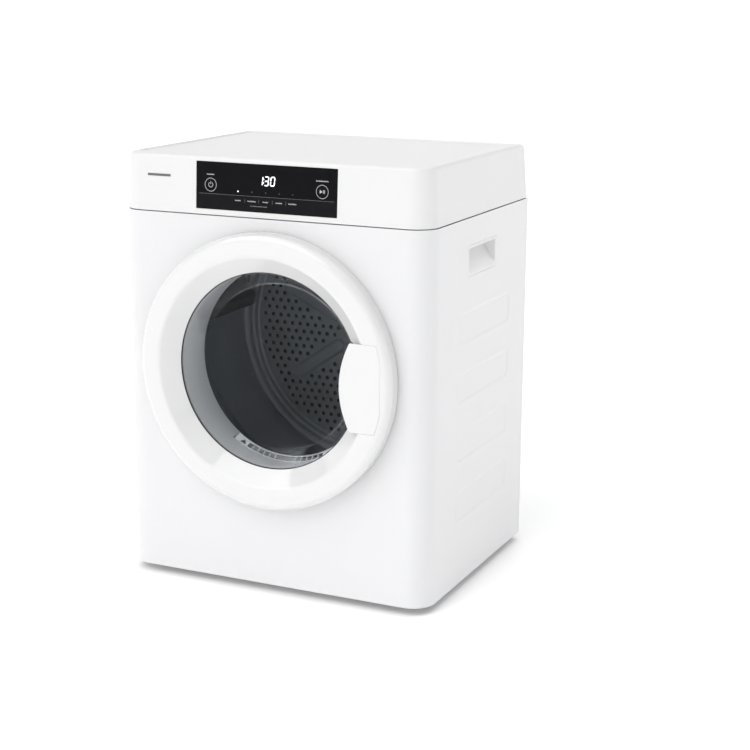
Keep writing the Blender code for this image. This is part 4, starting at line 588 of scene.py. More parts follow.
def rounded(corners, steps=8):
    """A closed loop through corners (a, b, radius), each rounded by its radius."""
    points = []
    for k, (a, b, radius) in enumerate(corners):
        here = Vector((a, b))
        if radius <= 0:
            points.append(here)
            continue
        before = (Vector(corners[k - 1][:2]) - here).normalized()
        after = (Vector(corners[(k + 1) % len(corners)][:2]) - here).normalized()
        half = before.angle(after) / 2
        centre = here + (before + after).normalized() * radius / math.sin(half)
        start = here + before * radius / math.tan(half) - centre
        turn = (math.pi - 2 * half) * (1 if before.cross(after) < 0 else -1)
        for step in range(steps + 1):
            points.append(centre + Matrix.Rotation(turn * step / steps, 2) @ start)
    return points


def curve(corners, steps=3):
    """A rounded section as (radius, station) pairs."""
    return [(point[0], point[1]) for point in rounded(corners, steps)]


def rectangle(left, right, low, high, radius=0.0, steps=6):
    corners = [(left, low), (right, low), (right, high), (left, high)]
    return rounded([(a, b, radius) for a, b in corners], steps)


def plan(inset, steps=14):
    """The cabinet's outline from above, drawn in by an inset."""
    wide, rear, front = HALF_WIDTH - inset, REAR - inset, FRONT + inset
    radius = max(CORNER - inset, 0.004)
    return rounded(
        [(-wide, rear, 0.004), (-wide, front, radius), (wide, front, radius), (wide, rear, 0.004)],
        steps,
    )


def polish(mesh, sharp):
    mesh.shade_smooth()
    mesh.set_sharp_from_angle(angle=math.radians(sharp))


def piece(name, form, maker, sharp=35.0, outward=None):
    """A form made into an object with a finish. outward is a direction that its first face looks."""
    shape = bmesh.new()
    verts = [shape.verts.new(point) for point in form.points]
    for face in form.faces:
        corners = [verts[index] for index in face]
        if len(set(corners)) == len(corners):
            try:
                shape.faces.new(corners)
            except ValueError:
                continue
    bmesh.ops.remove_doubles(shape, verts=shape.verts, dist=2e-6)
    bmesh.ops.recalc_face_normals(shape, faces=shape.faces)
    shape.faces.ensure_lookup_table()
    if outward and shape.faces[0].normal.dot(outward) < 0:
        bmesh.ops.reverse_faces(shape, faces=shape.faces)
    mesh = bpy.data.meshes.new(name)
    shape.to_mesh(mesh)
    shape.free()
    polish(mesh, sharp)
    made = bpy.data.objects.new(name, mesh)
    bpy.context.scene.collection.objects.link(made)
    made.data.materials.append(finish(maker))
    return made


def settle(made, sharp=35.0):
    """Applies the modifiers of a piece."""
    graph = bpy.context.evaluated_depsgraph_get()
    mesh = bpy.data.meshes.new_from_object(made.evaluated_get(graph))
    made.modifiers.clear()
    spent = made.data
    made.data = mesh
    bpy.data.meshes.remove(spent)
    polish(mesh, sharp)
    return made


def carve(made, *forms, operation="DIFFERENCE", sharp=35.0):
    """Cuts forms out of a piece, one after another."""
    for form in forms:
        tool = piece("tool", form, throat_grey)
        change = made.modifiers.new("carve", "BOOLEAN")
        change.operation = operation
        change.solver = "EXACT"
        change.object = tool
        settle(made, sharp)
        spent = tool.data
        bpy.data.objects.remove(tool)
        bpy.data.meshes.remove(spent)
    return made


def soften(made, width, segments=2, angle=30.0):
    """Rounds the sharp edges, and keeps the flat faces flat in the shading."""
    edge = made.modifiers.new("soft_edges", "BEVEL")
    edge.width = width
    edge.segments = segments
    edge.limit_method = "ANGLE"
    edge.angle_limit = math.radians(angle)
    edge.use_clamp_overlap = True
    level(made)
    return made


def level(made):
    shading = made.modifiers.new("flat_faces", "WEIGHTED_NORMAL")
    shading.keep_sharp = True
    shading.weight = 100
    return made


def fit(made, body, slot, *nodes):
    """Sets a piece on its body and hides the nodes that it stands for; the slot of its finish is not used.
    """
    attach(made, body)
    if nodes:
        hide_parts(*nodes)
    return made


def dress(maker, *nodes):
    """Gives CAD nodes a finish."""
    for name in nodes:
        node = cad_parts[name]
        for slot in node.material_slots:
            slot.material = finish(maker)
        if not node.material_slots:
            node.data.materials.append(finish(maker))


def soften_nodes(width, *nodes):
    for name in nodes:
        soften(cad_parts[name], width)


def box_form(low, high):
    outline = [(low[0], low[2]), (high[0], low[2]), (high[0], high[2]), (low[0], high[2])]
    return Form().slab(outline, [], low[1], high[1], "Y")


def on_head(made):
    """Moves a form from the control face's own frame onto the tilted front of the head."""
    seat = Matrix.Translation((0, FRONT + HEAD_INSET, SEAM))
    return made.moved(seat @ Matrix.Rotation(-HEAD_TILT, 4, "X"))


# Cabinet ---------------------------------------------------------------------------------------


def pressed_fields():
    """The pressed rectangles of a side panel, as (low y, high y, low z, high z)."""
    return [
        (FRONT + start, FRONT + 0.325, low, high)
        for start, low, high in (
            (0.118, 0.386, 0.437),
            (0.110, 0.297, 0.345),
            (0.110, 0.2055, 0.2555),
            (0.110, 0.112, 0.162),
        )
    ]


def grip_loop(margin, radius):
    return rectangle(
        GRIP_LOW.y + 0.004 - margin,
        GRIP_HIGH.y - 0.004 + margin,
        GRIP_LOW.z + 0.004 - margin,
        GRIP_HIGH.z - 0.004 + margin,
        radius,
    )


def cabinet_skin():
    """The wrap-round sheet: rounded front corners, door opening, slots and pressed side fields."""
    form = Form()
    low, high = SHELL_LOW.z, SHELL_HIGH.z
    flat = HALF_WIDTH - CORNER
    front = form.ring(lift(rectangle(-flat, flat, low, high), FRONT, "Y"))
    holes = [circle(PANEL_OPENING, 144, (0, AXIS))]
    for sign in (-1, 1):
        height = AXIS + sign * 0.030
        right = HINGE.x + 0.0252
        holes.append(rectangle(right - 0.0084, right, height - 0.0027, height + 0.0027, 0.001, 3))
    holes.append(rectangle(0.1845, 0.1955, AXIS - 0.007, AXIS + 0.007, 0.001, 3))
    form.cap(front, *[form.ring(lift(hole, FRONT, "Y")) for hole in holes])
    for side in (-1, 1):
        arc = []
        for step in range(15):
            angle = math.pi / 2 * step / 14
            arc.append((side * (flat + CORNER * math.sin(angle)), FRONT + CORNER * (1 - math.cos(angle))))
        edges = [form.ring([(x, y, low), (x, y, high)]) for x, y in arc]
        form.chain(edges, closed=False)
        x = side * HALF_WIDTH
        wall = form.ring(lift(rectangle(FRONT + CORNER, REAR, low, high), x, "X"))
        rings = [form.ring(lift(grip_loop(0, 0.001), x, "X"))]
        for field in pressed_fields():
            rings.append(pressed_field(form, field, side))
        form.cap(wall, *rings)
    made = piece("cabinet_skin", form, enamel, 50, Vector((0, -1, 0)))
    wall = made.modifiers.new("sheet", "SOLIDIFY")
    wall.thickness = SHEET
    wall.offset = -1
    settle(made, 50)
    level(made)
    fit(made, "cabinet", "white_paint", "cabinet_shell")


def pressed_field(form, field, side):
    """One pressed rectangle, its floor sunk by a soft S-shaped step; gives its outer ring."""
    depth = sizes().field_depth
    start, end, low, high = field
    rings = []
    steps = 6
    for step in range(steps + 1):
        share = step / steps
        inset = 0.0055 * share
        sunk = depth * (3 - 2 * share) * share * share
        loop = rectangle(start + inset, end - inset, low + inset, high - inset, 0.012 - inset)
        rings.append(form.ring(lift(loop, side * (HALF_WIDTH - sunk), "X")))
    form.chain(rings)
    form.cap(rings[-1])
    return rings[0]


def carrying_grip(side):
    """A scooped grip: a flat border, then a cup that runs in under the top lip."""
    form = Form()
    loops = []
    for inset, radius, sunk in ((TOUCH, 0.0012, 0.0012), (TOUCH, 0.0012, 0.0), (0.0035, 0.003, 0.0)):
        loops.append([(y, z, sunk) for y, z in grip_loop(-inset, radius)])
    y0, y1 = GRIP_LOW.y + 0.0085, GRIP_HIGH.y - 0.0085
    z0, z1 = GRIP_LOW.z + 0.0085, GRIP_HIGH.z - 0.0085
    steps = 22
    for step in range(steps + 1):
        share = step / steps
        inset = (z1 - z0) / 2 * 0.97 * share
        loop = rectangle(y0 + inset, y1 - inset, z0 + inset, z1 - inset, max(0.007 - inset, 0.0004))
        points = []
        for y, z in loop:
            reach = min(y - y0, y1 - y, z1 - z)
            wall = min(reach / 0.0035, 1.0)
            wall = (3 - 2 * wall) * wall * wall
            height = (z - z0) / (z1 - z0)
            slope = min(height * 1.25, 1.0)
            points.append((y, z, sizes().grip_depth * wall * slope**1.3))
        loops.append(points)
    rings = [form.ring([(side * (HALF_WIDTH - sunk), y, z) for y, z, sunk in loop]) for loop in loops]
    form.chain(rings)
    form.cap(rings[-1])
    name = "side_grip_cup_" + ("right" if side > 0 else "left")
    made = piece(name, form, moulding, 40, Vector((side, 0, 0)))
    level(made)
    fit(made, "cabinet", "white_plastic", "side_grip_" + ("right" if side > 0 else "left"))


def head_inset(height):
    return HEAD_INSET + HEAD_TAPER * (height - SEAM) / HEAD_RISE


def control_head():
    """The head's moulding: tapering sides, rolled top edge, raised rim and sunken top."""
    form = Form()
    bottom, top = HEAD_LOW.z, HEAD_HIGH.z
    roll = sizes().head_edge
    levels = [(bottom, head_inset(bottom) + 0.0006), (bottom + 0.0006, head_inset(bottom))]
    for step in range(9):
        angle = math.pi / 2 * step / 8
        height = top - roll * (1 - math.sin(angle))
        levels.append((height, head_inset(height) + roll * (1 - math.cos(angle))))
    outer = [form.ring(lift(plan(inset), height, "Z")) for height, inset in levels]
    form.chain(outer)
    inset = head_inset(top) + roll + 0.004
    left, near, far = inset - HALF_WIDTH, FRONT + inset + 0.012, REAR - inset
    sunk = []
    for share, drop in ((0, 0), (0.0006, 0.00025), (0.0014, 0.0010), (0.0020, 0.0017), (0.0028, 0.002)):
        loop = rectangle(left + share, -left - share, near + share, far - share, 0.008, 10)
        sunk.append(form.ring(lift(loop, top - drop, "Z")))
    form.cap(outer[-1], sunk[0])
    form.chain(sunk)
    form.cap(sunk[-1])
    inner = [
        form.ring(lift(plan(head_inset(height) + 0.0025), height, "Z"))
        for height in (bottom, top - 0.010)
    ]
    form.bridge(outer[0], inner[0])
    form.bridge(inner[0], inner[1])
    form.cap(inner[1])
    made = piece("head_cover", form, moulding, 40)
    outline = lens_outline(TOUCH)
    carve(made, on_head(Form().slab(outline, [], -0.004, 0.0022)), sharp=40)
    level(made)
    fit(made, "cabinet", "white_plastic", "top_cover")


def lens_outline(margin):
    return rectangle(-0.1215 - margin, 0.110 + margin, 0.009 - margin, 0.0785 + margin, 0.001 + margin, 4)


def control_lens():
    """The black gloss panel with its two key holes, set flush in the head."""
    holes = [circle(0.01025, 64, (x, KEY_LEVEL)) for x in KEY_PLACES.values()]
    form = on_head(Form().slab(lens_outline(0), holes, 0.0, 0.0018))
    made = soften(piece("control_panel", form, lens_black), 0.00025)
    fit(made, "cabinet", "gloss_black", "control_lens")


def bar(left, right, low, high, radius=0.0002):
    """A printed bar on the control face."""
    return Form().slab(rectangle(left, right, low, high, radius, 3), [], *PRINT)


SEGMENTS = {"1": "BC", "3": "ABCDG", "0": "ABCDEF", "2": "ABDEG", "5": "ACDFG"}


def digit(figure, left, low, width, height, stroke):
    """A seven-part figure, each part a six-sided bar."""
    form = Form()
    middle = low + height / 2
    right, top = left + width, low + height
    ends = {
        "A": ((left, top), (right, top)),
        "B": ((right, middle), (right, top)),
        "C": ((right, low), (right, middle)),
        "D": ((left, low), (right, low)),
        "E": ((left, low), (left, middle)),
        "F": ((left, middle), (left, top)),
        "G": ((left, middle), (right, middle)),
    }
    for part in SEGMENTS[figure]:
        one, two = (Vector(end) for end in ends[part])
        along = (two - one).normalized()
        across = Vector((-along.y, along.x)) * stroke / 2
        one, two = one + along * stroke * 0.12, two - along * stroke * 0.12
        tip = along * stroke / 2
        loop = [one, one + tip + across, two - tip + across, two, two - tip - across, one + tip - across]
        form.join(Form().slab(loop, [], *PRINT))
    slant = Matrix.Identity(4)
    slant[0][2] = 0.10
    seat = Matrix.Translation((0, 0, low))
    return form.moved(seat @ slant @ seat.inverted())


def control_marks():
    """The display's figures, the lamps, the legends as plain bars, and the rules between them."""
    figures = Form()
    low, height = 0.0485, 0.0125
    for figure, left in (("1", -0.0175), ("3", -0.0080), ("0", 0.0020)):
        figures.join(digit(figure, left, low, 0.0062, height, 0.0016))
    for rise in (0.0036, 0.0088):
        dot = circle(0.0009, 16, (-0.0098 + 0.1 * rise, low + rise))
        figures.join(Form().slab(dot, [], *PRINT))
    made = piece("display_figures", on_head(figures), lamp_lit)
    fit(made, "cabinet", "gloss_black")

    lamp_places = (-0.0512, -0.0281, -0.0054, 0.0167, 0.0387)
    lamps = Form()
    for x in lamp_places[1:]:
        lamps.join(Form().slab(circle(0.0009, 20, (x, 0.0377)), [], -0.00005, 0.0002))
    made = piece("programme_lamps", on_head(lamps), lamp_unlit)
    fit(made, "cabinet", "gloss_black")
    first = Form().slab(circle(0.0011, 20, (lamp_places[0], 0.0377)), [], -0.00008, 0.0002)
    made = piece("programme_lamp_lit", on_head(first), lamp_lit)
    fit(made, "cabinet", "gloss_black")

    legends = Form()
    widths = (0.0095, 0.0140, 0.0090, 0.0105, 0.0130)
    for x, width in zip(lamp_places, widths):
        legends.join(word(x, 0.0243, width, 0.0017))
    for x in KEY_PLACES.values():
        legends.join(word(x, 0.0600, 0.0130 if x < 0 else 0.0200, 0.0017))
    made = piece("programme_legends", on_head(legends), print_grey)
    fit(made, "cabinet", "gloss_black")

    small = word(-0.0165, 0.0175, 0.0280, 0.0013)
    for one, two in zip(lamp_places, lamp_places[1:]):
        middle = (one + two) / 2
        small.join(bar(middle - 0.00015, middle + 0.00015, 0.0215, 0.0275, 0.0001))
    small.join(bar(-0.1170, 0.1055, 0.0315, 0.0318, 0.0001))
    made = piece("legend_rules", on_head(small), print_dim)
    fit(made, "cabinet", "gloss_black")


def word(middle, level, width, height):
    """A stand-in for a printed word: a few short bars with gaps."""
    form = Form()
    count = max(3, round(width / 0.0017))
    pitch = width / count
    for k in range(count):
        left = middle - width / 2 + k * pitch
        tall = height * (1.0, 0.72, 0.72, 1.0, 0.8)[k % 5]
        form.join(bar(left, left + pitch * 0.66, level - height / 2, level - height / 2 + tall, 0.0002))
    return form


def badge():
    """A blank brushed plate where a name would be."""
    loop = rectangle(-0.2055, -0.1660, 0.0527, 0.0563, 0.0006, 4)
    form = on_head(Form().slab(loop, [], -0.0004, 0.0006))
    made = soften(piece("blank_badge", form, badge_metal), 0.00015)
    fit(made, "cabinet", "zinc_steel")


def strip(points, stroke):
    """A flat printed line of even width along points."""
    loop_one, loop_two = [], []
    for k, point in enumerate(points):
        here = Vector(point)
        before = Vector(points[max(k - 1, 0)])
        after = Vector(points[min(k + 1, len(points) - 1)])
        along = (after - before).normalized()
        across = Vector((-along.y, along.x)) * stroke / 2
        loop_one.append(here + across)
        loop_two.append(here - across)
    return Form().slab(loop_one + loop_two[::-1], [], *PRINT)


def control_keys():
    """The two keys: slightly dished gloss discs with printed rings and plain on and play signs."""
    for name, x in KEY_PLACES.items():
        centre = Vector((x, 0, KEY_LEVEL))
        profile = [(0.0, 0.00035), (0.0055, 0.00028), (0.0088, 0.00006), (0.00955, 0.0)]
        profile += [(0.0100, 0.0004), (0.0100, 0.0012), (0.0, 0.0012)]
        disc = on_head(Form().lathe(profile, 72, centre, closed=False))
        made = piece(name + "_key_cap", disc, lens_black, 50)
        fit(made, name + "_button", "gloss_black", name + "_key")
        rim = Form().slab(
            circle(0.0098, 64, (x, KEY_LEVEL)), [circle(0.0092, 64, (x, KEY_LEVEL))], -0.00004, 0.0003
        )
        if name == "power":
            turn = [math.radians(125 + 290 * k / 28) for k in range(29)]
            arc = [(x + 0.0036 * math.cos(a), KEY_LEVEL + 0.0036 * math.sin(a)) for a in turn]
            sign = strip(arc, 0.0007)
            sign.join(strip([(x, KEY_LEVEL + 0.0008), (x, KEY_LEVEL + 0.0048)], 0.0007))
        else:
            left = x - 0.0040
            triangle = [(left, KEY_LEVEL - 0.0026), (left + 0.0044, KEY_LEVEL), (left, KEY_LEVEL + 0.0026)]
            sign = Form().slab(triangle, [], -0.00006, 0.0004)
            for edge in (x + 0.0014, x + 0.0032):
                sign.join(bar(edge, edge + 0.0008, KEY_LEVEL - 0.0026, KEY_LEVEL + 0.0026, 0.0001))
        made = piece(name + "_key_sign", on_head(rim.join(sign)), print_grey)
        fit(made, name + "_button", "gloss_black")


# Door ------------------------------------------------------------------------------------------


def depth(value):
    """A station counted back from the cabinet's front face."""
    return FRONT + value


def section(corners, steps=8):
    """A lathe section from (radius, depth, rounding) corners."""
    return [(point[0], depth(point[1])) for point in rounded(corners, steps)]


def handle_outline(margin=0.0, steps=28):
    """The handle plate from the front: a bowed left edge, and a right edge along the crown."""
    low, high = 0.279 - margin, 0.410 + margin
    points = []
    for step in range(steps + 1):
        share = step / steps
        bow = (2 * share - 1) ** 2
        points.append((0.1276 + 0.0164 * bow - margin, high + (low - high) * share))
    edge = DOOR_RADIUS - 0.012 - TOUCH + margin
    for step in range(steps + 1):
        z = low + (high - low) * step / steps
        points.append((min(math.sqrt(edge**2 - (z - AXIS) ** 2), 0.1925 + margin), z))
    return points


def hinge_relief():
    """The part of the ring's back edge that would meet the panel as the door swings."""
    x, y = HINGE.x, HINGE.y
    clear = 0.0142
    points = []
    for step in range(13):
        angle = math.pi / 2 * (1 + step / 12)
        points.append((x + clear * math.cos(angle), y + clear * math.sin(angle)))
    far = clear + 0.004
    points += [(x - far, y), (x - far, y + far), (x, y + far)]
    reach = math.sqrt(DOOR_RADIUS**2 - HINGE.x**2) + 0.004
    return Form().slab(points, [], AXIS - reach, AXIS + reach, "Z")


def door_ring():
    """The white ring: a dished inner slope, a soft lip, a flat crown and a rolled outer edge."""
    inner, outer = WINDOW_RADIUS, DOOR_RADIUS
    lip, wall = inner + 0.026, 0.0022
    corners = [
        (inner, -0.0045, 0),
        (inner, -0.0067, 0.0006),
        (lip, -CROWN, sizes().lip_round),
        (outer, -CROWN, 0.012),
        (outer, -0.0008, 0),
        (outer - wall, -0.0008, 0),
        (outer - wall, wall - CROWN, 0.0098),
        (lip + 0.0011, wall - CROWN, 0.005),
        (inner + 0.0045, -0.0045, 0),
    ]
    form = Form().lathe(section(corners), 192)
    made = piece("door_ring", form, gloss)
    pocket = Form().slab(handle_outline(TOUCH), [], depth(-CROWN - 0.004), depth(-CROWN + 0.0029))
    finger = rectangle(0.1276, 0.1815, 0.2815, 0.4075, 0.004)
    hollow = Form().slab(finger, [], depth(-CROWN), depth(-0.0005))
    slots = Form()
    for sign in (-1, 1):
        height = AXIS + sign * 0.030
        slots.join(
            box_form(
                (HINGE.x - 0.0142, HINGE.y - 0.004, height - 0.0027),
                (HINGE.x, FRONT + 0.004, height + 0.0027),
            )
        )
    carve(made, pocket, hollow, hinge_relief(), slots)
    level(made)
    fit(made, "door", "gloss_white", "door_outer_ring")


def door_handle():
    """The handle plate, flush with the ring's crown, and the wall of the finger pocket."""
    crown = depth(-CROWN)
    form = Form().slab(handle_outline(), [], crown, crown + 0.0026)
    made = soften(piece("handle_plate", form, gloss), 0.0007, 3)
    fit(made, "door", "gloss_white", "door_handle")
    loop = []
    for step in range(13):
        z = 0.2822 + (0.4068 - 0.2822) * step / 12
        loop.append((0.1797 - 0.0008 * math.sin(math.pi * step / 12), z))
    loop += [(0.1811, 0.4068), (0.1811, 0.2822)]
    form = Form().slab(loop, [], crown + 0.0020, depth(-0.0060))
    made = soften(piece("finger_pocket_wall", form, gloss), 0.0005)
    fit(made, "door", "gloss_white")


def bowl_profile(shrink=0.0):
    """The glass bowl's line from its flat end out to its mouth."""
    top = WINDOW_RADIUS - 0.003 - shrink
    floor = top - 0.018
    end = 0.039 - shrink
    corners = [(0.0, end, 0), (floor - 0.001, end, 0.010), (top, -0.0012, 0.002)]
    return rounded(corners + [(top + 0.002, -0.0012, 0), (top + 0.002, -0.01, 0)], 12)


def door_window():
    """The glass bowl: a pressed dish with a rounded edge, in its flange under the ring."""
    line = bowl_profile()
    dish = [(radius, station) for radius, station in line if station >= -0.0012][:-1]
    inside = [(max(radius - 0.003, 0.0), station - 0.003) for radius, station in dish]
    inside = [(radius, max(station, -0.0042)) for radius, station in inside]
    rim = WINDOW_RADIUS + 0.0075
    section_line = dish + [(rim, -0.0012), (rim, -0.0042)] + inside[::-1]
    profile = [(radius, depth(station)) for radius, station in section_line]
    made = piece("glass_bowl", Form().lathe(profile, 160, closed=False), window_glass, 40)
    fit(made, "door", "clear_glass", "door_window")

    seal = [(0.1478, -0.0047), (0.1488, -0.0052), (0.1489, -0.0066), (0.1478, -0.0062)]
    profile = [(radius, depth(station)) for radius, station in seal]
    made = piece("window_gasket", Form().lathe(profile, 160), rubber)
    fit(made, "door", "rubber")


def door_back():
    """The door's inner ring, its seal against the throat, and the screws that hold it."""
    front = -0.0042
    rim = WINDOW_RADIUS + 0.0078
    corners = [
        (WINDOW_RADIUS - TOUCH, -0.0009, 0),
        (rim, -0.0009, 0),
        (rim, front, 0),
        (DOOR_RADIUS - 0.0025, front, 0),
        (DOOR_RADIUS - 0.0025, front + 0.0028, 0.0012),
        (rim + 0.0017, front + 0.0028, 0.0008),
        (rim + 0.0017, 0.0016, 0.0008),
        (WINDOW_RADIUS - TOUCH, 0.0016, 0.0006),
    ]
    made = piece("door_back_ring", Form().lathe(section(corners, 4), 160), throat_grey)
    notch = box_form(
        (-DOOR_RADIUS - 0.004, depth(-CROWN), AXIS - 0.042), (HINGE.x + 0.031, FRONT, AXIS + 0.042)
    )
    latch = box_form((0.1882, depth(-CROWN), AXIS - 0.0053), (0.1918, FRONT + 0.004, AXIS + 0.0053))
    carve(made, notch, latch)
    level(made)
    fit(made, "door", "light_grey", "door_inner_ring")

    corners = [
        (THROAT_RADIUS, 0.0019, 0.0003),
        (THROAT_RADIUS + 0.006, 0.0019, 0.0003),
        (THROAT_RADIUS + 0.005, 0.0042, 0.0012),
        (THROAT_RADIUS + 0.001, 0.0042, 0.0012),
    ]
    made = piece("door_gasket", Form().lathe(section(corners, 4), 160), rubber)
    fit(made, "door", "rubber", "door_seal")

    seat = Vector((0, depth(front + 0.0028), AXIS))
    screw_ring("door_screws", "door", seat, 0.186, 22.5, 8, 1, 0.0032)
    dress(galvanised, "door_hinge_leaf", "door_striker")
    soften_nodes(0.0004, "door_hinge_leaf", "door_striker")


SCREW_ARMS = 16
SCREW_CROSS = (0.5, 0.26, 0.2, 0.26)
SCREW_LEVELS = (
    (1.0, 0.0, False),
    (0.97, 0.55, False),
    (0.8, 0.85, False),
    (0.55, 1.0, False),
    (1.0, 0.95, True),
    (0.85, 0.35, True),
)


def screw_head(place, facing, radius):
    """A pan-head screw seen from its head: a domed disc with a cross recess."""
    height = radius * 0.42
    rings = []
    for share, rise, recess in SCREW_LEVELS:
        ring = []
        for k in range(SCREW_ARMS):
            angle = math.tau * k / SCREW_ARMS
            reach = radius * share * (SCREW_CROSS[k % 4] if recess else 1.0)
            ring.append((reach * math.cos(angle), rise * height, reach * math.sin(angle)))
        rings.append(ring)
    form = Form()
    form.loft(rings)
    turn = Matrix.Identity(4)
    turn[1][1] = facing
    return form.moved(Matrix.Translation(place) @ turn)


def screw_ring(name, body, seat, reach, start, count, facing, radius):
    """Screws evenly spaced on a circle about a seat."""
    screws = Form()
    for k in range(count):
        angle = math.radians(start + 360 / count * k)
        place = seat + Vector((reach * math.cos(angle), 0, reach * math.sin(angle)))
        screws.join(screw_head(place, facing, radius))
    fit(piece(name, screws, turned_steel), body, "zinc_steel")


def hinge_set():
    """The hinge bracket and pin behind the panel, and the latch's catch and switch."""
    dress(galvanised, "hinge_bracket")
    dress(turned_steel, "hinge_pin")
    dress(charcoal, "door_catch", "door_switch")
    soften_nodes(0.0004, "hinge_bracket", "door_catch", "door_switch")


# Throat and lint filter ------------------------------------------------------------------------


def throat():
    """The throat ring that the door seals on, with the sheet that closes off the drum's front."""
    tail = BULKHEAD_BACK + 0.012
    lip, outer = 0.0045, THROAT_RADIUS + 0.002
    corners = [
        (THROAT_RADIUS, lip, 0.0015),
        (PANEL_OPENING, lip, 0),
        (PANEL_OPENING, 0.0015, 0),
        (THROAT_RADIUS + 0.021, 0.0015, 0.0004),
        (THROAT_RADIUS + 0.021, 0.0035, 0.0004),
        (PANEL_OPENING + 0.002, 0.0035, 0),
        (PANEL_OPENING + 0.002, lip + 0.002, 0),
        (outer, lip + 0.002, 0),
        (outer, tail, 0),
        (THROAT_RADIUS, tail, 0.0006),
    ]
    ring = piece("throat_ring", Form().lathe(section(corners, 4), 192), throat_grey)
    half, rear, slot = 0.0884, 0.0525, 0.0412
    side = BULKHEAD_HIGH.x
    low, high = BULKHEAD_LOW.z, BULKHEAD_HIGH.z
    hole = circle(THROAT_RADIUS + 0.001, 192, (0, AXIS))
    eye = circle(0.036, 72, (0.150, 0.090))
    outline = rectangle(-side, side, low, high)
    sheet = Form().slab(outline, [hole, eye], depth(rear), depth(BULKHEAD_BACK))
    sheet = soften(piece("bulkhead_sheet", sheet, throat_grey), 0.0004)
    carve(ring, box_form((-half, depth(slot), SLOT_LOW.z), (half, depth(rear), AXIS - THROAT_RADIUS / 2)))
    level(ring)
    for made in (ring, sheet):
        fit(made, "cabinet", "light_grey", "front_bulkhead")


def grille_cells():
    """The grille's cells as (start, end, kind) in degrees from straight down."""
    cells = [(-34.6, -31.5, "solid"), (-31.5, -26.5, "left")]
    angle = -26.5
    half = [(0.9, "solid"), (3.0, "slot")] * 5 + [(0.9, "solid")]
    for width, kind in half:
        cells.append((angle, angle + width, kind))
        angle += width
    cells.append((angle, -angle, "slot"))
    mirrored = [(-end, -start, {"left": "right"}.get(kind, kind)) for start, end, kind in cells[:-1]]
    return cells + mirrored[::-1]


def lint_filter():
    """The curved grille on the throat's floor, over a frame that carries the lint cloth."""
    form = Form()
    near, far = 0.0415, 0.0522
    outer, inner = THROAT_RADIUS - TOUCH, THROAT_RADIUS - 0.0078

    def spot(angle, share, sink=0.0):
        radius = outer + (inner - outer) * share + sink
        station = near + (far - near) * share
        turn = math.radians(angle)
        return Vector((radius * math.sin(turn), depth(station), AXIS - radius * math.cos(turn)))

    rows = (0.0, 0.17, 0.83, 1.0)
    for start, end, kind in grille_cells():
        parts = max(1, round((end - start) / 1.6))
        cuts = [start + (end - start) * k / parts for k in range(parts + 1)]
        for one, two in zip(cuts, cuts[1:]):
            for low, high in zip(rows, rows[1:]):
                if kind != "solid" and (low, high) == (rows[1], rows[2]):
                    continue
                form.faces.append(
                    tuple(form.ring([spot(one, low), spot(two, low), spot(two, high), spot(one, high)]))
                )
        if kind in ("left", "right"):
            tip = (start + end) / 2
            border = [(start, rows[1]), (end, rows[1]), (end, rows[2]), (start, rows[2])]
            hole = [(start + 0.5, rows[1] + 0.04), (end - 0.5, rows[1] + 0.04), (tip, rows[2] - 0.04)]
            form.cap(*[form.ring([spot(*point) for point in loop]) for loop in (border, hole)])
    made = piece("lint_grille", form, throat_grey, 35, Vector((0, 0, 1)))
    wall = made.modifiers.new("wall", "SOLIDIFY")
    wall.thickness = 0.0018
    wall.offset = -1
    settle(made)
    soften(made, 0.00035)
    fit(made, "lint_filter", "light_grey", "lint_filter_frame")

    reach, under = 0.070, THROAT_RADIUS + 0.001
    outline = []
    for step in range(25):
        x = -reach + 2 * reach * step / 24
        outline.append((x, AXIS - math.sqrt(under**2 - x**2)))
    outline += [(reach, SLOT_LOW.z), (-reach, SLOT_LOW.z)]
    window = rectangle(MESH_LOW.x - TOUCH, MESH_HIGH.x + TOUCH, MESH_LOW.z - TOUCH, MESH_HIGH.z + TOUCH)
    form = Form().slab(outline, [window], depth(0.0412), depth(0.0432))
    made = soften(piece("lint_frame", form, throat_grey), 0.0003)
    fit(made, "lint_filter", "light_grey")
    ribs = Form()
    for x in (-0.0324, 0.0, 0.0324):
        low, high = (x - 0.0008, depth(0.0426), MESH_LOW.z), (x + 0.0008, depth(0.0436), MESH_HIGH.z)
        ribs.join(box_form(low, high))
    made = soften(piece("lint_frame_ribs", ribs, throat_grey), 0.0002)
    fit(made, "lint_filter", "light_grey")
    dress(lint_cloth, "lint_filter_mesh")


# Drum ------------------------------------------------------------------------------------------


def drum_shell():
    """The drum's wall with its rolled mouth, corner round and stiffening beads."""
    front, rear = DRUM_LOW.y - FRONT, DRUM_HIGH.y - FRONT
    mouth, outer, sheet = 0.1555, DRUM_HIGH.x, 0.001
    middle = front + (rear - front) * 0.47
    inside = outer - sheet
    corners = [
        (mouth, front + 0.008, 0),
        (mouth, front, 0.0015),
        (outer, front, 0.006),
        (outer, rear, 0),
        (inside, rear, 0),
        (inside, middle + 0.010, 0.003),
        (inside - 0.0030, middle + 0.0045, 0.003),
        (inside - 0.0030, middle - 0.0045, 0.003),
        (inside, middle - 0.010, 0.003),
        (inside, front + sheet, 0.005),
        (mouth + sheet, front + sheet, 0.0008),
        (mouth + sheet, front + 0.008, 0),
    ]
    made = piece("drum_wall", Form().lathe(section(corners, 4), 192), drum_steel)
    fit(made, "drum", "drum_steel", "drum_shell")


def bar_places():
    """The drum back's radial bars as (angle, start radius, end radius)."""
    count = 6
    return [(math.radians(35 + 360 * k / count), 0.052, 0.146) for k in range(count)]


def near_bar(x, z, margin):
    for angle, start, end in bar_places():
        along = x * math.cos(angle) + z * math.sin(angle)
        across = -x * math.sin(angle) + z * math.cos(angle)
        along_gap = max(start - along, along - end, 0.0)
        if math.hypot(along_gap, across) < 0.011 + margin:
            return True
    return False


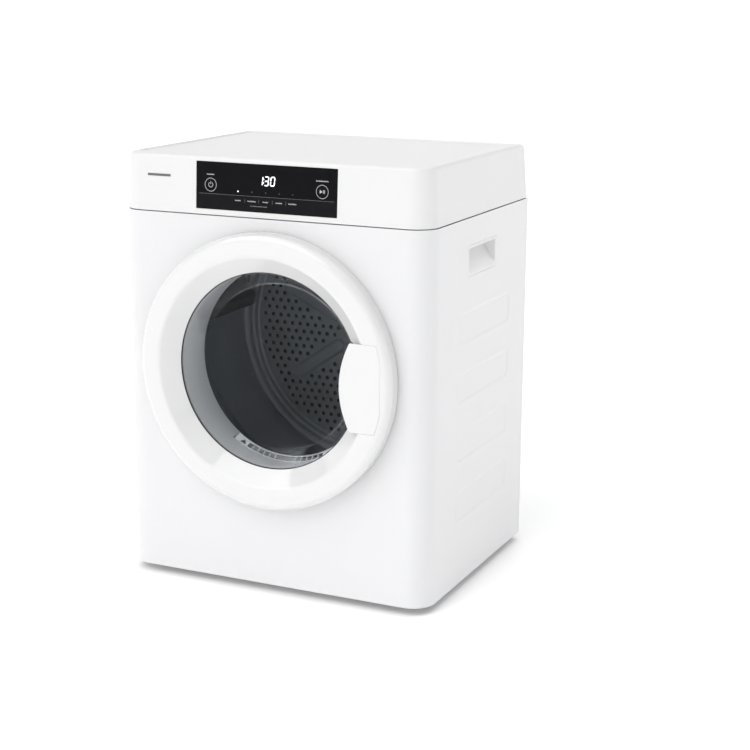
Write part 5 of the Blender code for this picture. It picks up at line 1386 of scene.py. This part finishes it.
def drum_back():
    """The perforated back: a six-sided grid of holes between raised bars, and a beaded rim."""
    face = BACK_LOW.y + 0.0060
    pitch, hole = sizes().hole_pitch, sizes().hole_radius
    form = Form()
    rows = int(0.2 / (pitch * math.sqrt(3) / 2)) + 1
    corner = pitch / math.sqrt(3)
    spokes = [math.pi / 6 + math.pi / 3 * k for k in range(7)]
    tips = [Vector((math.cos(angle), math.sin(angle))) * corner for angle in spokes]
    rim = [point for one, two in zip(tips, tips[1:]) for point in (one, (one + two) / 2)]
    for row in range(-rows, rows + 1):
        for column in range(-rows, rows + 1):
            x = pitch * (column + 0.5 * (row % 2))
            z = row * pitch * math.sqrt(3) / 2
            reach = math.hypot(x, z)
            if reach > 0.198:
                continue
            ring = form.ring([(x + a, face, AXIS + z + b) for a, b in rim])
            open_cell = 0.040 < reach < 0.186 and not near_bar(x, z, hole + 0.0015)
            if not open_cell:
                form.cap(ring)
                continue
            before = ring
            for radius, sink in ((hole + 0.0007, 0.0), (hole + 0.0001, 0.0003), (hole, 0.0008)):
                loop = circle(radius, 12, (x, AXIS + z), math.pi / 6)
                after = form.ring(lift(loop, face + sink, "Y"))
                form.bridge(before, after)
                before = after
    made = piece("drum_back_grid", form, drum_steel, 20, Vector((0, -1, 0)))
    fit(made, "drum", "drum_steel", "drum_back")
    # Painted shade: a near-black disc just behind the grid, so that the holes read dark where there is only
    # shade.
    line = [(0.036, face + 0.0013), (0.191, face + 0.0013), (0.191, face + 0.0019), (0.036, face + 0.0019)]
    made = piece("drum_back_painted_shade_disc", Form().lathe(line, 96), rubber)
    fit(made, "drum", "rubber")

    rim = BACK_HIGH.x
    front = BACK_LOW.y
    line = [
        (0.1925, face + 0.0002),
        (0.1925, face - 0.0002),
        (0.1950, face - 0.0020),
        (0.1975, face - 0.0020),
        (0.2000, face - 0.0004),
        (0.2025, face - 0.0004),
        (0.2050, face - 0.0028),
        (0.2080, face - 0.0028),
        (0.2110, face - 0.0004),
        (0.2150, face - 0.0004),
        (rim - 0.0006, face - 0.0030),
        (rim - 0.0006, front),
        (rim, front),
        (rim, face + 0.0008),
        (0.2150, face + 0.0006),
    ]
    corners = [(radius, station, 0.0012 if 0 < k < 11 else 0) for k, (radius, station) in enumerate(line)]
    profile = curve(corners)
    made = piece("drum_back_rim", Form().lathe(profile, 192), drum_steel, 50)
    fit(made, "drum", "drum_steel")

    bars = Form()
    for angle, start, end in bar_places():
        bars.join(raised_bar(angle, start, end, face))
    made = piece("drum_back_bars", bars, drum_steel, 50)
    fit(made, "drum", "drum_steel")

    hub = [
        (0.0, face - 0.0042),
        (0.020, face - 0.0042),
        (0.024, face - 0.0034),
        (0.026, face - 0.0012),
        (0.034, face - 0.0008),
        (0.037, face - 0.0004),
        (0.038, face + 0.0002),
        (0.0, face + 0.0002),
    ]
    made = piece("drum_hub_cap", Form().lathe(hub, 96, closed=False), drum_steel, 50)
    fit(made, "drum", "drum_steel")
    screw_ring("drum_hub_screws", "drum", Vector((0, face - 0.0009, AXIS)), 0.030, 64, 3, -1, 0.0028)


def raised_bar(angle, start, end, face):
    """A raised bar with round ends, outlined by a shallow groove."""
    form = Form()
    rings = []
    for radius, rise in (
        (0.0128, 0.0002),
        (0.0128, -0.0003),
        (0.0118, -0.0002),
        (0.0106, -0.0010),
        (0.0094, -0.0030),
        (0.0080, -0.0038),
        (0.0040, -0.0040),
    ):
        loop = []
        for k in range(17):
            turn = math.pi / 2 + math.pi * k / 16
            loop.append((start + radius * math.cos(turn), radius * math.sin(turn)))
        for k in range(17):
            turn = -math.pi / 2 + math.pi * k / 16
            loop.append((end + radius * math.cos(turn), radius * math.sin(turn)))
        turned = []
        for along, across in loop:
            x = along * math.cos(angle) - across * math.sin(angle)
            z = along * math.sin(angle) + across * math.cos(angle)
            turned.append((x, face + rise, AXIS + z))
        rings.append(turned)
    form.loft(rings)
    return form


def drum_lifters():
    """Three hollow-looking baffles: a rounded wedge, flared at its foot and ramped at both ends."""
    front = DRUM_LOW.y - FRONT
    start, end = front + 0.024, BACK_HIGH.y - 0.001 - FRONT - 0.024
    for k in range(3):
        angle = math.radians(165 - 120 * k)
        rings = []
        steps = 26
        for step in range(steps + 1):
            share = step / steps
            station = start + (end - start) * share
            ramp = min(share, 1 - share) * (end - start) / 0.030
            rise = math.sin(min(ramp, 1.0) * math.pi / 2) ** 0.8 * 0.9 + 0.02
            rings.append(lifter_section(rise, station))
        form = Form()
        form.loft(rings)
        form.moved(Matrix.Translation((0, 0, AXIS)) @ Matrix.Rotation(-angle, 4, "Y"))
        made = piece(f"drum_baffle_{k + 1}", form, charcoal, 50)
        level(made)
        fit(made, "drum", "dark_plastic", f"drum_lifter_{k + 1}")


def lifter_section(rise, station):
    """One cross section of a baffle: a bell-shaped ridge on the drum's curved wall."""
    height = 0.045 * rise
    top = []
    steps = 22
    for step in range(steps + 1):
        share = 2 * step / steps - 1
        aside = 0.0300 * share
        bell = 1 / (1 + (abs(share) / 0.60) ** 5.5)
        foot = 1 / (1 + (1 / 0.60) ** 5.5)
        bell = (bell - foot) / (1 - foot)
        seat = math.sqrt(0.2205**2 - aside**2) - 0.0008
        top.append(Vector((seat - height * bell, depth(station), aside)))
    base = [Vector((math.sqrt(0.2205**2 - a**2), depth(station), a)) for a in (0.0300, 0.0, -0.0300)]
    return top + base


def drum_drive():
    """The turned parts around the drum: shaft, bearing, felt seals and front rollers."""
    dress(turned_steel, "drum_shaft", "drum_bearing", "roller_axle_left", "roller_axle_right")
    dress(galvanised, "bearing_housing")
    dress(felt, "front_felt_ring", "rear_felt_ring")
    soften_nodes(0.0006, "bearing_housing")
    for side in (-1, 1):
        name = "drum_roller_" + ("right" if side > 0 else "left")
        low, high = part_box(name)
        centre = (low + high) / 2
        radius = (high.x - low.x) / 2 - 0.0002
        corners = [
            (0.0055, low.y, 0),
            (0.0110, low.y, 0.0006),
            (0.0120, low.y + 0.0014, 0.0006),
            (0.0138, low.y + 0.0014, 0.0006),
            (0.0146, low.y, 0.0006),
            (radius, low.y, 0.0018),
            (radius, high.y, 0.0018),
            (0.0146, high.y, 0.0006),
            (0.0138, high.y - 0.0014, 0.0006),
            (0.0120, high.y - 0.0014, 0.0006),
            (0.0110, high.y, 0.0006),
            (0.0055, high.y, 0),
        ]
        profile = [(point[0], point[1]) for point in rounded(corners, 4)]
        seat = Vector((centre.x, 0, centre.z))
        made = piece(name + "_tyre", Form().lathe(profile, 64, seat), rubber)
        fit(made, "roller_" + ("right" if side > 0 else "left"), "rubber", name)


# Back and underside ----------------------------------------------------------------------------


def rear_sheet():
    """The rear panel: pressed border and louvred air inlet, with its screws."""
    form = Form()
    low, high = PANEL_LOW.z, PANEL_HIGH.z
    wide = PANEL_HIGH.x
    outer = form.ring(lift(rectangle(-wide, wide, low, high), REAR - TOUCH, "Y"))
    collar = Vector(((COLLAR_LOW.x + COLLAR_HIGH.x) / 2, 0, (COLLAR_LOW.z + COLLAR_HIGH.z) / 2))
    loops = [circle(0.0493, 96, (collar.x, collar.z)), circle(0.0083, 32, (0.205, 0.110))]
    holes = [form.ring(lift(loop, REAR - TOUCH, "Y")) for loop in loops]
    levels = ((0, 0), (0.0012, 0.0002), (0.004, 0.0012), (0.0055, 0.0014))
    field = pressed_steps(form, (0.040, 0.312), (0.208, 0.518), 0.012, levels)
    slots = []
    for k in range(9):
        height = 0.3385 + 0.019 * k
        slots.append(louvre(form, 0.062, 0.186, height, REAR - TOUCH - 0.0014))
    form.cap(field[-1], *slots)
    levels = ((0, 0), (0.0012, 0.0002), (0.004, 0.0015), (0.0055, 0.0018))
    press = pressed_steps(form, (-0.215, 0.215), (0.005, 0.530), 0.018, levels)
    form.cap(press[-1])
    form.cap(outer, field[0], press[0], *holes)
    made = piece("rear_sheet", form, galvanised, 40, Vector((0, 1, 0)))
    wall = made.modifiers.new("sheet", "SOLIDIFY")
    wall.thickness = 0.0006
    wall.offset = -1
    settle(made, 40)
    level(made)
    fit(made, "cabinet", "zinc_steel", "rear_panel")

    screws = Form()
    places = [(x, z) for x in (-0.244, 0.244) for z in (0.052, 0.180, 0.310, 0.440, 0.560)]
    places += [(x, z) for x, z in ((-0.12, 0.560), (0.02, 0.560), (0.16, 0.560), (0.10, 0.052))]
    for x, z in places:
        screws.join(screw_head(Vector((x, REAR - TOUCH, z)), 1, 0.0034))
    made = piece("rear_screws", screws, turned_steel)
    fit(made, "cabinet", "zinc_steel")


def pressed_steps(form, low, high, radius, levels):
    """A rectangle pressed into the rear sheet by steps of (inset, depth); gives its rings."""
    rings = []
    for inset, sunk in levels:
        loop = rectangle(low[0] + inset, high[0] - inset, low[1] + inset, high[1] - inset, radius)
        rings.append(form.ring(lift(loop, REAR - TOUCH - sunk, "Y")))
    form.chain(rings)
    return rings


def louvre(form, left, right, height, station):
    """A pressed louvre: a hood that stands out over its slot; gives the ring in the sheet."""
    outline = rectangle(left, right, height - 0.0045, height + 0.0045, 0.0044, 6)
    base = form.ring(lift(outline, station, "Y"))
    hood = []
    for a, b in rectangle(left + 0.0012, right - 0.0012, height - 0.0040, height + 0.0032, 0.0035, 6):
        share = (b - (height - 0.0040)) / 0.0072
        hood.append((a, station + 0.0012 * (1 - share), b))
    top = form.ring(hood)
    form.bridge(base, top)
    mouth = rectangle(left + 0.0026, right - 0.0026, height - 0.0034, height + 0.0010, 0.0020, 6)
    slit = form.ring([(a, station + 0.0006 * (1 - (b - height) / 0.004) - 0.0012, b) for a, b in mouth])
    form.bridge(top, slit)
    return base


def exhaust_collar():
    """The round vent collar: a flange with screws, a ribbed spigot and a rolled end."""
    middle = Vector(((COLLAR_LOW.x + COLLAR_HIGH.x) / 2, 0, (COLLAR_LOW.z + COLLAR_HIGH.z) / 2))
    near, end = REAR, COLLAR_HIGH.y
    bore, outer, flange = 0.0457, 0.0488, COLLAR_HIGH.x - middle.x
    corners = [
        (bore, COLLAR_LOW.y + 0.0002, 0),
        (0.0474, COLLAR_LOW.y + 0.0002, 0),
        (0.0474, near - 0.0010, 0),
        (0.0484, near + TOUCH, 0),
        (flange, near + TOUCH, 0.0003),
        (flange, near + 0.0024, 0.0008),
        (outer + 0.0012, near + 0.0026, 0.0010),
        (outer - 0.0010, near + 0.0050, 0.0004),
        (outer - 0.0010, near + 0.0080, 0.0004),
        (outer, near + 0.0088, 0.0004),
        (outer, near + 0.0100, 0.0004),
        (outer - 0.0010, near + 0.0108, 0.0004),
        (outer - 0.0010, end - 0.0026, 0.0004),
        (outer, end - 0.0020, 0.0004),
        (outer, end, 0.0008),
        (bore, end, 0.0008),
    ]
    profile = curve(corners)
    made = piece("vent_collar", Form().lathe(profile, 120, middle), charcoal)
    fit(made, "cabinet", "dark_plastic", "exhaust_collar")
    seat = middle + Vector((0, near + 0.0023, 0))
    screw_ring("collar_screws", "cabinet", seat, 0.0536, 45, 4, 1, 0.0028)
    dress(charcoal, "cord_gland")
    soften_nodes(0.0006, "cord_gland")


def feet():
    """Four ribbed rubber feet under the pan."""
    for end in ("front", "rear"):
        for side in ("left", "right"):
            name = f"foot_{end}_{side}"
            low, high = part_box(name)
            centre = Vector(((low.x + high.x) / 2, (low.y + high.y) / 2, 0))
            radius = (high.x - low.x) / 2 - 0.0002
            corners = [(0.0, 0.0014, 0), (0.0080, 0.0014, 0), (0.0088, 0.0, 0.0003)]
            corners += [(radius - 0.0014, 0.0, 0.0008), (radius, 0.0026, 0.0010)]
            for k in range(3):
                step = 0.0036 + 0.0026 * k
                corners += [(radius, step, 0.0002), (radius - 0.0008, step + 0.0005, 0.0002)]
                corners += [(radius - 0.0008, step + 0.0011, 0.0002), (radius, step + 0.0016, 0.0002)]
            corners += [(radius, 0.0116, 0.0006), (0.0048, 0.0116, 0), (0.0048, 0.0148, 0)]
            corners += [(0.0069, 0.0149, 0), (0.0042, 0.0196, 0), (0.0, 0.0196, 0)]
            profile = curve(corners)
            form = Form().lathe(profile, 64, centre, "Z", closed=False)
            made = piece(name + "_pad", form, rubber)
            fit(made, "cabinet", "rubber", name)


def base_and_sheets():
    """The base pan and the inner sheets keep their frame shapes, with softened edges."""
    dress(charcoal, "base_pan")
    dress(galvanised, "rear_bulkhead", "heater_housing")
    dress(heater_red, "heater_core")
    soften_nodes(0.0006, "base_pan", "heater_housing")
    ribs = Form()
    for k in range(7):
        y = FRONT + 0.070 + 0.043 * k
        ribs.join(box_form((-0.160, y - 0.001, 0.0105), (0.160, y + 0.001, 0.0124)))
    made = soften(piece("base_ribs", ribs, charcoal), 0.0004)
    fit(made, "cabinet", "dark_plastic")


def inner_works():
    """Finishes of the drive, the air path and the electrics behind the panels."""
    dress(throat_grey, "filter_duct", "blower_housing")
    dress(charcoal, "blower_wheel", "exhaust_duct", "idler_pulley")
    dress(motor_enamel, "motor_body")
    dress(galvanised, "motor_bracket", "idler_arm", "idler_stand")
    dress(turned_steel, "motor_shaft", "motor_pulley", "idler_spring")
    dress(belt_rubber, "drive_belt")
    dress(board_green, "control_board")
    soften_nodes(0.0004, "filter_duct", "motor_bracket", "idler_arm", "idler_stand", "motor_body")
    soften_nodes(0.0004, "motor_pulley", "idler_pulley", "control_board")
    for name in ("blower_wheel", "blower_housing", "exhaust_duct", "rear_bulkhead", "heater_core"):
        level(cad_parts[name])
    low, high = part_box("motor_body")
    fins = Form()
    middle = Vector(((low.x + high.x) / 2, 0, (low.z + high.z) / 2))
    radius = (high.x - low.x) / 2
    for station in (low.y + 0.012, low.y + 0.020, high.y - 0.020, high.y - 0.012):
        band = [(radius - 0.001, station), (radius + 0.0012, station + 0.0006)]
        band += [(radius + 0.0012, station + 0.0026), (radius - 0.001, station + 0.0032)]
        fins.lathe(band, 72, middle)
    made = piece("motor_bands", fins, motor_enamel)
    fit(made, "cabinet", "zinc_steel")


# Stage -----------------------------------------------------------------------------------------


STUDIO_LIGHTS = (
    ("key_light", (-0.35, -0.62, 0.70), 1.60, 55),
    ("top_light", (0.05, 0.30, 0.95), 1.28, 60),
    ("right_light", (0.50, -0.50, 0.70), 0.20, 40),
)
CAMERA_PLACE = (1.1374, -2.2792, 0.9234)
CAMERA_YAW, CAMERA_PITCH, CAMERA_ROLL = 0.4336, 0.2401, 0.0054
CAMERA_LENS, CAMERA_SENSOR = 79.06, 36


def sun(name, toward, power, spread):
    """A very wide, soft and even light from a direction."""
    data = bpy.data.lights.new(name, "SUN")
    data.energy = power
    data.angle = math.radians(spread)
    lamp = bpy.data.objects.new(name, data)
    bpy.context.scene.collection.objects.link(lamp)
    lamp.rotation_euler = Vector(toward).to_track_quat("Z", "Y").to_euler()


def studio():
    """A pale floor, wide soft lights and the camera."""
    profile = [(0.0, 0.0), (36.0, 0.0), (40.0, 0.6), (43.0, 3.0), (44.0, 7.0), (45.0, 16.0)]
    form = Form().lathe(profile, 72, Vector((0, 0, 0)), "Z", closed=False)
    floor = piece("studio_floor", form, floor_paint, 60, Vector((0, 0, 1)))

    world = bpy.context.scene.world or bpy.data.worlds.new("studio_world")
    bpy.context.scene.world = world
    world.use_nodes = True
    back_node = world.node_tree.nodes["Background"]
    back_node.inputs["Color"].default_value = (1, 1, 1, 1)
    back_node.inputs["Strength"].default_value = sizes().sky
    for light in STUDIO_LIGHTS:
        sun(*light)

    data = bpy.data.cameras.new("studio_camera")
    data.lens = CAMERA_LENS
    data.sensor_width = CAMERA_SENSOR
    camera = bpy.data.objects.new("studio_camera", data)
    bpy.context.scene.collection.objects.link(camera)
    level_share = math.cos(CAMERA_PITCH)
    look = Vector(
        (-math.sin(CAMERA_YAW) * level_share, math.cos(CAMERA_YAW) * level_share, -math.sin(CAMERA_PITCH))
    )
    camera.location = CAMERA_PLACE
    turn = look.to_track_quat("-Z", "Y").to_matrix() @ Matrix.Rotation(CAMERA_ROLL, 3, "Z")
    camera.rotation_euler = turn.to_euler()
    bpy.context.scene.camera = camera
    bpy.context.scene.view_settings.view_transform = "Standard"


# Add-on ----------------------------------------------------------------------------------------


class DryerSizes(PropertyGroup):
    """Sizes that a user may change."""

    field_depth: FloatProperty(
        name="Side field depth",
        description="How deep the side panels' rectangles are pressed",
        default=0.0011,
        min=0.0,
        max=0.002,
        unit="LENGTH",
    )
    grip_depth: FloatProperty(
        name="Grip depth",
        description="How far the carrying grips reach into the sides",
        default=0.0165,
        min=0.002,
        max=0.022,
        unit="LENGTH",
    )
    head_edge: FloatProperty(
        name="Head edge radius",
        description="The rolled edge round the top of the control head",
        default=HEAD_INSET * 6,
        min=0.002,
        max=0.008,
        unit="LENGTH",
    )
    lip_round: FloatProperty(
        name="Door lip radius",
        description="The soft edge between the door ring's crown and its inner slope",
        default=0.011,
        min=0.004,
        max=0.014,
        unit="LENGTH",
    )
    lens_line: FloatProperty(
        name="Control line height",
        description="Height above the seam of the line across the control panel",
        default=0.0317,
        min=0.02,
        max=0.05,
        unit="LENGTH",
    )
    hole_pitch: FloatProperty(
        name="Hole pitch",
        description="Distance between the holes of the drum's back",
        default=0.0145,
        min=0.012,
        max=0.020,
        unit="LENGTH",
    )
    hole_radius: FloatProperty(
        name="Hole radius",
        description="Radius of the holes of the drum's back",
        default=0.0037,
        min=0.002,
        max=0.005,
        unit="LENGTH",
    )
    sky: FloatProperty(
        name="Studio brightness",
        description="Strength of the even white light from all round",
        default=0.26,
        min=0.0,
        max=3.0,
    )


def tint(name, description, default):
    """A colour property."""
    return FloatVectorProperty(
        name=name, description=description, default=default, min=0.0, max=1.0, size=3, subtype="COLOR"
    )


class DryerColours(PropertyGroup):
    """Colours that a user may change."""

    enamel: tint("Enamel", "Painted cabinet", (0.74, 0.74, 0.75))
    moulding: tint("Head", "Moulded head and grips", (0.75, 0.75, 0.75))
    gloss: tint("Door ring", "Glossy door ring and handle", (0.745, 0.745, 0.745))
    lens: tint("Control panel", "Black gloss panel", (0.006, 0.006, 0.007))
    print: tint("Print", "Printed signs and legends", (0.62, 0.62, 0.63))
    lamp: tint("Display", "Lit display figures", (0.92, 0.95, 1.0))
    throat: tint("Throat", "Throat ring, bulkhead and lint grille", (0.80, 0.81, 0.82))
    charcoal: tint("Dark plastic", "Baffles, collar and base", (0.055, 0.056, 0.060))
    drum: tint("Drum", "Coated drum steel", (0.27, 0.29, 0.32))
    glass: tint("Glass", "What the bowl lets through", (0.95, 0.955, 0.96))
    floor: tint("Floor", "Studio floor", (0.95, 0.95, 0.95))


class DRYER_OT_cabinet_skin(Operator):
    """Makes the wrap-round sheet with its pressed side fields."""

    bl_idname = "dryer.cabinet_skin"
    bl_label = "Cabinet skin"

    def execute(self, context):
        cabinet_skin()
        return {"FINISHED"}


class DRYER_OT_carrying_grips(Operator):
    """Makes the scooped grip in each side."""

    bl_idname = "dryer.carrying_grips"
    bl_label = "Carrying grips"

    def execute(self, context):
        carrying_grip(-1)
        carrying_grip(1)
        return {"FINISHED"}


class DRYER_OT_control_head(Operator):
    """Makes the white head with its raised rim and sunken top."""

    bl_idname = "dryer.control_head"
    bl_label = "Control head"

    def execute(self, context):
        control_head()
        return {"FINISHED"}


class DRYER_OT_control_face(Operator):
    """Makes the black panel, its printed marks and lamps, and the blank badge."""

    bl_idname = "dryer.control_face"
    bl_label = "Control face"

    def execute(self, context):
        control_lens()
        control_marks()
        badge()
        return {"FINISHED"}


class DRYER_OT_control_keys(Operator):
    """Makes the on key and the start key with their signs."""

    bl_idname = "dryer.control_keys"
    bl_label = "Control keys"

    def execute(self, context):
        control_keys()
        return {"FINISHED"}


class DRYER_OT_door_ring(Operator):
    """Makes the white ring of the door and its handle plate."""

    bl_idname = "dryer.door_ring"
    bl_label = "Door ring"

    def execute(self, context):
        door_ring()
        door_handle()
        return {"FINISHED"}


class DRYER_OT_door_window(Operator):
    """Makes the glass bowl and its gasket."""

    bl_idname = "dryer.door_window"
    bl_label = "Door window"

    def execute(self, context):
        door_window()
        return {"FINISHED"}


class DRYER_OT_door_back(Operator):
    """Makes the door's inner ring, its seal, hinge and latch."""

    bl_idname = "dryer.door_back"
    bl_label = "Door back"

    def execute(self, context):
        door_back()
        hinge_set()
        return {"FINISHED"}


class DRYER_OT_throat(Operator):
    """Makes the throat ring and the bulkhead behind it."""

    bl_idname = "dryer.throat"
    bl_label = "Throat"

    def execute(self, context):
        throat()
        return {"FINISHED"}


class DRYER_OT_lint_filter(Operator):
    """Makes the curved grille and the framed lint cloth."""

    bl_idname = "dryer.lint_filter"
    bl_label = "Lint filter"

    def execute(self, context):
        lint_filter()
        return {"FINISHED"}


class DRYER_OT_drum_wall(Operator):
    """Makes the beaded drum wall."""

    bl_idname = "dryer.drum_wall"
    bl_label = "Drum wall"

    def execute(self, context):
        drum_shell()
        return {"FINISHED"}


class DRYER_OT_drum_back(Operator):
    """Makes the perforated back with its bars, rim and hub."""

    bl_idname = "dryer.drum_back"
    bl_label = "Drum back"

    def execute(self, context):
        drum_back()
        return {"FINISHED"}


class DRYER_OT_drum_baffles(Operator):
    """Makes the three baffles that lift the laundry."""

    bl_idname = "dryer.drum_baffles"
    bl_label = "Drum baffles"

    def execute(self, context):
        drum_lifters()
        return {"FINISHED"}


class DRYER_OT_drum_drive(Operator):
    """Finishes the shaft, bearing, felts and rollers."""

    bl_idname = "dryer.drum_drive"
    bl_label = "Drum drive"

    def execute(self, context):
        drum_drive()
        return {"FINISHED"}


class DRYER_OT_rear_sheet(Operator):
    """Makes the louvred rear panel and its screws."""

    bl_idname = "dryer.rear_sheet"
    bl_label = "Rear sheet"

    def execute(self, context):
        rear_sheet()
        return {"FINISHED"}


class DRYER_OT_vent_collar(Operator):
    """Makes the vent collar and finishes the cord gland."""

    bl_idname = "dryer.vent_collar"
    bl_label = "Vent collar"

    def execute(self, context):
        exhaust_collar()
        return {"FINISHED"}


class DRYER_OT_feet(Operator):
    """Makes the four feet and finishes the base and the inner sheets."""

    bl_idname = "dryer.feet"
    bl_label = "Feet and base"

    def execute(self, context):
        feet()
        base_and_sheets()
        return {"FINISHED"}


class DRYER_OT_inner_works(Operator):
    """Finishes the motor, belt, idler, blower, ducts and board."""

    bl_idname = "dryer.inner_works"
    bl_label = "Inner works"

    def execute(self, context):
        inner_works()
        return {"FINISHED"}


class DRYER_OT_studio(Operator):
    """Makes the floor, the soft lights and the camera."""

    bl_idname = "dryer.studio"
    bl_label = "Studio"

    def execute(self, context):
        studio()
        return {"FINISHED"}


PIECE_OPERATORS = (
    DRYER_OT_cabinet_skin,
    DRYER_OT_carrying_grips,
    DRYER_OT_control_head,
    DRYER_OT_control_face,
    DRYER_OT_control_keys,
    DRYER_OT_door_ring,
    DRYER_OT_door_window,
    DRYER_OT_door_back,
    DRYER_OT_throat,
    DRYER_OT_lint_filter,
    DRYER_OT_drum_wall,
    DRYER_OT_drum_back,
    DRYER_OT_drum_baffles,
    DRYER_OT_drum_drive,
    DRYER_OT_rear_sheet,
    DRYER_OT_vent_collar,
    DRYER_OT_feet,
    DRYER_OT_inner_works,
    DRYER_OT_studio,
)


class DRYER_PT_maker(Panel):
    """Sizes, colours and the makers of the pieces."""

    bl_label = "Tumble dryer"
    bl_space_type = "VIEW_3D"
    bl_region_type = "UI"
    bl_category = "Dryer"

    def draw(self, context):
        column = self.layout.column()
        for group in (context.scene.dryer_sizes, context.scene.dryer_colours):
            for name in group.bl_rna.properties.keys():
                if name not in ("rna_type", "name"):
                    column.prop(group, name)
        for operator in PIECE_OPERATORS:
            column.operator(operator.bl_idname)


CLASSES = (DryerSizes, DryerColours, *PIECE_OPERATORS, DRYER_PT_maker)


def register():
    for each in CLASSES:
        bpy.utils.register_class(each)
    bpy.types.Scene.dryer_sizes = PointerProperty(type=DryerSizes)
    bpy.types.Scene.dryer_colours = PointerProperty(type=DryerColours)


def unregister():
    del bpy.types.Scene.dryer_colours
    del bpy.types.Scene.dryer_sizes
    for each in reversed(CLASSES):
        bpy.utils.unregister_class(each)


def main():
    register()
    for operator in PIECE_OPERATORS:
        group, name = operator.bl_idname.split(".")
        getattr(getattr(bpy.ops, group), name)()


if __name__ == "__main__":
    main()
